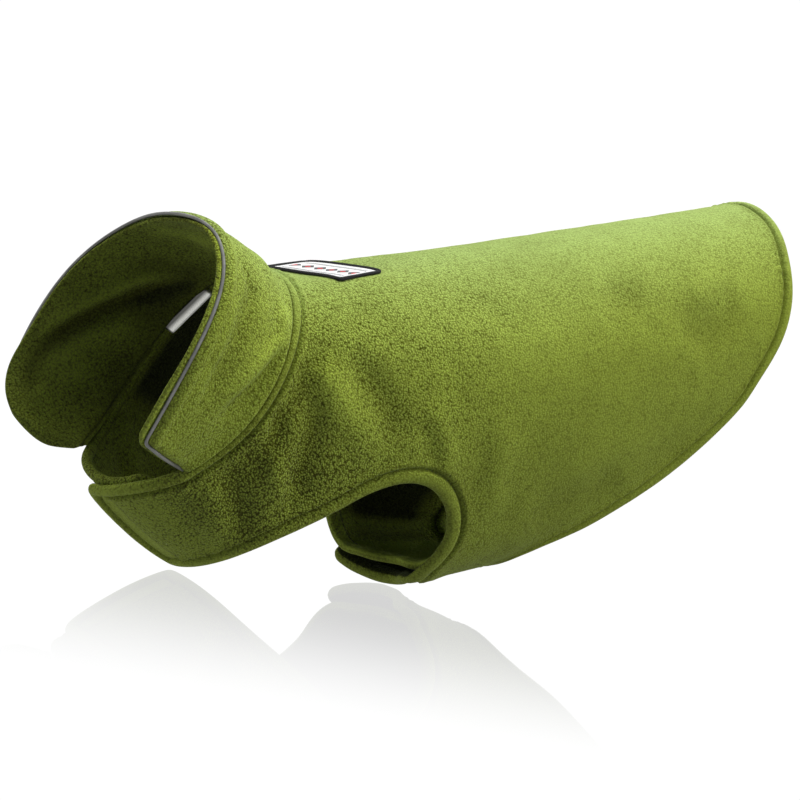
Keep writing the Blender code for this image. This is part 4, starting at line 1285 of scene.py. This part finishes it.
# %% A small language for shaders
class Value:
    """A shader socket that carries numbers, with operators that add Math nodes."""

    def __init__(self, nodes, socket):
        self.nodes, self.socket = nodes, socket

    def _math(self, operation, *values):
        return self.nodes.node("ShaderNodeMath", {"operation": operation}, dict(enumerate(values)))

    def __add__(self, other):
        return self._math("ADD", self, other)

    def __sub__(self, other):
        return self._math("SUBTRACT", self, other)

    def __rsub__(self, other):
        return self._math("SUBTRACT", other, self)

    def __mul__(self, other):
        return self._math("MULTIPLY", self, other)

    def __abs__(self):
        return self._math("ABSOLUTE", self)

    def __mod__(self, other):
        return self._math("FLOORED_MODULO", self, other)

    def __lt__(self, other):
        return self._math("LESS_THAN", self, other)

    def least(self, other):
        return self._math("MINIMUM", self, other)

    def most(self, other):
        return self._math("MAXIMUM", self, other)

    def sine(self):
        return self._math("SINE", self)

    def ramp(self, low, high):
        """0 at low and 1 at high, soft at both ends."""
        return self.nodes.node("ShaderNodeMapRange", {"interpolation_type": "SMOOTHSTEP"}, {
            "Value": self, "From Min": low, "From Max": high})


class Nodes:
    """A node tree under construction."""

    def __init__(self, tree):
        self.tree = tree

    def node(self, kind, settings=None, inputs=None, output=0):
        made = self.tree.nodes.new(kind)
        for setting, value in (settings or {}).items():
            setattr(made, setting, value)
        for socket, value in (inputs or {}).items():
            self.feed(made.inputs[socket], value)
        return Value(self, made.outputs[output])

    def feed(self, socket, value):
        if isinstance(value, Value):
            self.tree.links.new(value.socket, socket)
        else:
            socket.default_value = value


class Finish(Nodes):
    """A material under construction, with one shader."""

    def __init__(self, name, **constants):
        self.material = bpy.data.materials.new(name)
        self.material.use_nodes = True
        super().__init__(self.material.node_tree)
        self.shader = self.tree.nodes["Principled BSDF"]
        for socket, value in constants.items():
            self.shader.inputs[socket.replace("_", " ")].default_value = value

    def surface(self, **inputs):
        for socket, value in inputs.items():
            self.feed(self.shader.inputs[socket.replace("_", " ")], value)

    def places(self):
        """The surface's own place, in metres."""
        return self.node("ShaderNodeTexCoord", output="Object")

    def attribute(self, name):
        return self.node("ShaderNodeAttribute", {"attribute_name": name}, output="Fac")

    def noise(self, scale, detail, roughness, distortion=0.0):
        return self.node("ShaderNodeTexNoise", None, {
            "Vector": self.places(), "Scale": scale, "Detail": detail, "Roughness": roughness,
            "Distortion": distortion})

    def mix(self, share, first, second):
        """A colour between two colours."""
        return self.node("ShaderNodeMix", {"data_type": "RGBA"}, {0: share, 6: first, 7: second}, output=2)

    def bump(self, height, distance, strength):
        return self.node("ShaderNodeBump", None, {"Height": height, "Distance": distance, "Strength": strength})


print("shader helpers are ready")

# %% [markdown]
# ## Fleece
# Brushed fleece is a felt of short curled fibres. From arm's length it reads as soft round tufts about 1.3 mm
# apart, with dark gaps between them, no gloss at all, and a faint brighter veil where the surface turns away, which
# the shader's sheen gives. Real fibres would cost millions of faces, so the tufts are the cells of a smooth
# Voronoi pattern in the object's own space, bent by noise, which drives both the colour and the bump. Five values
# on the mesh's points steer it: how open and how coarse the pile is, and three that paint light and shade into the
# colour: painted shade in the grooves, creases and inside, painted light and shade along the folds and in patches,
# and a brighter, bluer tint painted where the top catches the light.

# %% Fleece material
TUFTS = 760             # tufts in a metre


def fleece(name, tip, top_lit_tip, gap):
    made = Finish(name, Roughness=0.95, Sheen_Weight=0.15, Sheen_Roughness=0.3, Sheen_Tint=(0.85, 1.0, 0.6, 1))
    made.shader.inputs["Specular IOR Level"].default_value = 0.1
    contrast, coarse, painted_shade = made.attribute("pile"), made.attribute("coarse"), made.attribute("painted_shade")
    fold, top_light = made.attribute("fold"), made.attribute("top_light")
    bend = made.node("ShaderNodeTexNoise", None, {"Vector": made.places(), "Scale": 500.0, "Detail": 1.0}, output=1)
    bent = made.node("ShaderNodeVectorMath", {"operation": "MULTIPLY_ADD"}, {
        0: bend, 1: (0.0012, 0.0012, 0.0012), 2: made.places()})
    away = made.node("ShaderNodeTexVoronoi", {"feature": "SMOOTH_F1"}, {
        "Vector": bent, "Scale": TUFTS, "Smoothness": 0.4, "Randomness": 1.0})
    fine = made.noise(1150, 1.0, 0.5, 0.4)
    patches = made.noise(60, 2.0, 0.6)
    broad = made.noise(12, 2.0, 0.5)
    height = (0.47 - away) * (coarse * 0.5 + 0.8) + (fine - 0.5) * 0.7
    # the coarse share also darkens the chest: partly its open pile, partly painted shade
    shade = height * 1.5 * contrast + 0.53 - coarse * 0.08 + (patches - 0.5) * 0.2 + (broad - 0.5) * 0.2
    # painted light and shade: the fold value lightens ridges and darkens troughs, and the painted shade darkens
    # grooves, creases and the inside
    shade = (shade + fold * 0.05).most(0).least(1) * (1 - painted_shade * 0.9)
    # painted shade: where the painted shade is deepest the gap colour goes to black, the look of deep shadow
    low = made.mix(painted_shade.ramp(0.55, 1.0), (*gap, 1), (0.004, 0.005, 0.001, 1))
    made.surface(
        Base_Color=made.mix(shade, low, made.mix(top_light, (*tip, 1), (*top_lit_tip, 1))),
        Normal=made.bump(height * contrast, 0.0011, 0.8),
    )
    return made.material


OLIVE_TIP = (0.475, 0.605, 0.075)
# painted light: the tips' brighter, bluer tint where the top catches the light
OLIVE_TOP_LIT = (0.45, 0.615, 0.19)
OLIVE_GAP = (0.082, 0.09, 0.004)
olive = fleece("olive fleece pile", OLIVE_TIP, OLIVE_TOP_LIT, OLIVE_GAP)
for piece in (body_cloth, collar_outer, collar_facing):
    piece.data.materials.append(olive)
print("fleece on the body and the collar")

# %% [markdown]
# ## Cord, thread, twill, satin and tape
# The small trims each get the weave that can be seen up close: fine ribs on the piping's tape, twisted strands in
# the thread, a diagonal twill under the patch's diamonds, a soft gloss along the satin, and the matted loops of
# the touch fastener.

# %% Trim materials
def piping_finish():
    made = Finish("grey piping tape", Roughness=0.38, Metallic=0.25)
    weave = made.noise(1500, 1.0, 0.5)
    wear = made.noise(90, 2.0, 0.5)
    made.surface(
        Base_Color=made.mix(wear.ramp(0.35, 0.65), (0.17, 0.172, 0.16, 1), (0.25, 0.252, 0.235, 1)),
        Normal=made.bump(weave, 0.00008, 0.5),
    )
    return made.material


def thread_finish(name, light, dark):
    made = Finish(name, Roughness=0.6)
    made.shader.inputs["Specular IOR Level"].default_value = 0.25
    strands = made.noise(1800, 2.0, 0.6)
    made.surface(
        Base_Color=made.mix(strands.ramp(0.3, 0.7), (*dark, 1), (*light, 1)), Normal=made.bump(strands, 0.0001, 0.6))
    return made.material


def twill_finish():
    """White twill with a row of diamonds and two lines, woven in dark grey and red."""
    made = Finish("white twill", Roughness=0.7, Sheen_Weight=0.1)
    along, across = made.attribute("patch_along"), made.attribute("patch_across")
    ribs = ((along + across) * 9.0).sine() * 0.5 + 0.5
    cell = (across + 100) % 10.0 - 5.0
    diamond = abs(cell) * 1.1 + abs(along)
    big = diamond < 5.2
    small = diamond < 2.4
    lines = (abs(abs(along) - 9.5) < 0.55).most(abs(abs(along) - 11.3) < 0.3)
    inside = abs(across) < 26.0
    base = made.mix(ribs, (0.74, 0.74, 0.74, 1), (0.86, 0.86, 0.86, 1))
    base = made.mix(big.most(lines) * inside, base, (0.035, 0.035, 0.04, 1))
    base = made.mix(small * inside, base, (0.55, 0.03, 0.03, 1))
    made.surface(Base_Color=base, Normal=made.bump(ribs, 0.00012, 0.5))
    return made.material


def satin_finish():
    made = Finish("grey satin tape", Roughness=0.34, Metallic=0.75, Anisotropic=0.4)
    threads = made.noise(2200, 1.0, 0.5)
    satin = made.mix(threads.ramp(0.3, 0.7), (0.6, 0.6, 0.56, 1), (0.78, 0.78, 0.74, 1))
    made.surface(
        # painted shade on the upper leaf
        Base_Color=made.mix(made.attribute("painted_leaf_shade") * 0.9, satin, (0.05, 0.05, 0.045, 1)),
        Normal=made.bump(threads, 0.00005, 0.5),
    )
    return made.material


def fastener_finish():
    made = Finish("black touch fastener", Roughness=0.85, Sheen_Weight=0.25)
    loops = made.noise(900, 2.0, 0.7, 1.5)
    made.surface(
        Base_Color=made.mix(loops.ramp(0.35, 0.7), (0.004, 0.004, 0.004, 1), (0.045, 0.045, 0.047, 1)),
        Normal=made.bump(loops, 0.0008, 1.0),
    )
    return made.material


piping.data.materials.append(piping_finish())
stitches.data.materials.append(thread_finish("olive thread", (0.14, 0.19, 0.03), (0.06, 0.085, 0.012)))
patch_band.data.materials.append(thread_finish("black overlock thread", (0.012,) * 3, (0.002,) * 3))
patch.data.materials.append(twill_finish())
neck_tag.data.materials.append(satin_finish())
tape_finish = fastener_finish()
fastener_tapes = [
    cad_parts[f"{place}_{kind}_tape"] for place in ("chest", "belly") for kind in ("hook", "loop")]
for node in fastener_tapes:
    node.data.materials.clear()
    node.data.materials.append(tape_finish)
print("trims have their finishes")

# %% [markdown]
# ## Cloth sizes
# The area of one face of each piece of cloth is printed, since cloth hardly stretches and that area is the size it
# was cut to. The area of one face of a shell is half the whole surface.

def face_area(piece):
    """Square metres of one face of a closed shell."""
    return sum(polygon.area for polygon in piece.data.polygons) / 2


for piece in (body_cloth, collar_outer, collar_facing, patch, neck_tag):
    print(piece.name, "has", round(face_area(piece), 5), "square metres a face")

# %% [markdown]
# ## Floor and light
# The coat rests on its chest flap and its belly strap, so the sheet it stands on is tipped to touch both. The
# sheet is white and a little glossy: a faint mirror image starts at the coat and fades out both towards the
# viewer and away. A white dome closes the view. Both are only seen and mirrored. The light comes from soft lamps, the
# strongest from above and behind the tail, so the front, the underside and the inside of the collar stay dark.

# %% Stage
FLOOR_WAY = Vector((0.226, 0.021, 0.974)).normalized()      # out of the floor, tipped by about 13 degrees
FLOOR_CLEAR = 0.0004    # metres below the lowest point
lowest = min(
    FLOOR_WAY @ (piece.matrix_world @ vertex.co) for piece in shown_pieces() for vertex in piece.data.vertices)
floor_height = lowest - FLOOR_CLEAR
floor_middle = FLOOR_WAY * floor_height
print("the floor passes", round(-floor_height / METRES, 1), "mm below the withers")


def white_shell(name, points, faces):
    """A part of the stage that is only seen and mirrored."""
    mesh = bpy.data.meshes.new(name)
    mesh.from_pydata(points, [], faces)
    shell = new_object(name, mesh)
    shell.visible_diffuse = False
    shell.visible_shadow = False
    shell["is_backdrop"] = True
    return shell


FLOOR_HALF = 6.0
floor_along = (towards_camera - FLOOR_WAY * (towards_camera @ FLOOR_WAY)).normalized()
floor_across = FLOOR_WAY.cross(floor_along)
floor_corners = [
    floor_middle + (floor_along * x + floor_across * y) * FLOOR_HALF for x, y in ((-1, -1), (-1, 1), (1, 1), (1, -1))]
floor = white_shell("floor", floor_corners, [(0, 3, 2, 1)])

dome_points, dome_faces = [], []
DOME_ROWS, DOME_SIDES = 12, 32
for row in range(DOME_ROWS + 1):
    rise = math.radians(-20 + 110 * row / DOME_ROWS)
    for k in range(DOME_SIDES):
        turn = 2 * math.pi * k / DOME_SIDES
        dome_points.append((
            FLOOR_HALF * math.cos(rise) * math.cos(turn), FLOOR_HALF * math.cos(rise) * math.sin(turn),
            FLOOR_HALF * math.sin(rise)))
for row in range(DOME_ROWS):
    for k in range(DOME_SIDES):
        a, b = row * DOME_SIDES + k, row * DOME_SIDES + (k + 1) % DOME_SIDES
        dome_faces.append((a, b, b + DOME_SIDES, a + DOME_SIDES))
dome = white_shell("dome", dome_points, dome_faces)


WHITE = 1.03
MIRROR = 0.36
MIRROR_FROM, MIRROR_TO = 0.06, 0.56     # metres from the coat's middle, over which the mirror image fades


def white_glow(name):
    """A material that shines evenly, its nodes, its glow and the output that the glow feeds."""
    material = bpy.data.materials.new(name)
    material.use_nodes = True
    nodes = Nodes(material.node_tree)
    nodes.tree.nodes.clear()
    output = nodes.tree.nodes.new("ShaderNodeOutputMaterial").inputs[0]
    light = nodes.node("ShaderNodeEmission", None, {"Strength": WHITE})
    nodes.feed(output, light)
    return material, nodes, light, output


dome.data.materials.append(white_glow("white dome")[0])
floor_material, nodes, light, output = white_glow("white floor")
place = nodes.node("ShaderNodeTexCoord", output="Object")
from_middle = nodes.node(
    "ShaderNodeVectorMath", {"operation": "DOT_PRODUCT"}, {0: place, 1: floor_along}, output="Value")
fade = nodes.node("ShaderNodeMapRange", {"interpolation_type": "SMOOTHSTEP"}, {
    "Value": abs(from_middle), "From Min": MIRROR_FROM, "From Max": MIRROR_TO, "To Min": MIRROR, "To Max": 0.0})
mirror = nodes.node("ShaderNodeBsdfGlossy", None, {"Color": (1, 1, 1, 1), "Roughness": 0.02})
nodes.feed(output, nodes.node("ShaderNodeMixShader", None, {0: fade, 1: light, 2: mirror}))
floor.data.materials.append(floor_material)

# %% Lights and colour
LIGHTS = (
    # name, degrees round from the coat's left side, degrees up, watts
    ("key behind the tail", 120, 62, 49.5),
    ("tail side", 45, 35, 13.1),
    ("overhead", 60, 62, 7.9),
    ("low tail side", 45, 5, 7.35),
    ("low far front", -135, 5, 6.5),
    ("straight down", 0, 88, 2.1),
    ("high far front", -120, 62, 2.0),
    ("low left", 0, 5, 1.75),
)
LIT = Vector((0.12, 0.0, -0.08))        # the point that every lamp shines at
LAMP_AWAY, LAMP_SIZE = 2.0, 1.0         # metres

for name, round_from, up, watts in LIGHTS:
    lamp = bpy.data.lights.new(name, "AREA")
    lamp.shape = "SQUARE"
    lamp.size = LAMP_SIZE
    lamp.energy = watts
    way = way_towards(round_from, up)
    lamp_object = new_object(name, lamp)
    lamp_object.location = LIT + way * LAMP_AWAY
    lamp_object.rotation_euler = way.to_track_quat("Z", "Y").to_euler()
    lamp_object.visible_camera = False
    lamp_object.visible_glossy = False

world = bpy.data.worlds.new("sky")
world.use_nodes = True
sky = Nodes(world.node_tree)
direction = sky.node("ShaderNodeTexCoord", output="Generated")
height = sky.node("ShaderNodeSeparateXYZ", None, {0: direction}, output="Z")
from_below = sky.node("ShaderNodeMapRange", None, {
    "Value": height, "From Min": -0.05, "From Max": 0.05, "To Min": 0.19, "To Max": 0.0})
background = world.node_tree.nodes["Background"]
sky.feed(background.inputs["Color"], (1, 1, 1, 1))
sky.feed(background.inputs["Strength"], from_below)
bpy.context.scene.world = world
bpy.context.scene.view_settings.view_transform = "Standard"
bpy.context.scene.view_settings.look = "None"
print(len(LIGHTS), "lamps")

# %% [markdown]
# ## Sizes
# The dressed coat's box is set against the imported model's box, apart from what soft cloth may stand proud: how
# far the two differ on each axis is printed.

# %% Sizes and the end
dressed_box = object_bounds()
for axis in range(3):
    low = (dressed_box[0][axis] - cad_box[0][axis]) / METRES
    high = (dressed_box[1][axis] - cad_box[1][axis]) / METRES
    print("xyz"[axis], "low", round(low, 1), "mm and high", round(high, 1), "mm from the packed model")
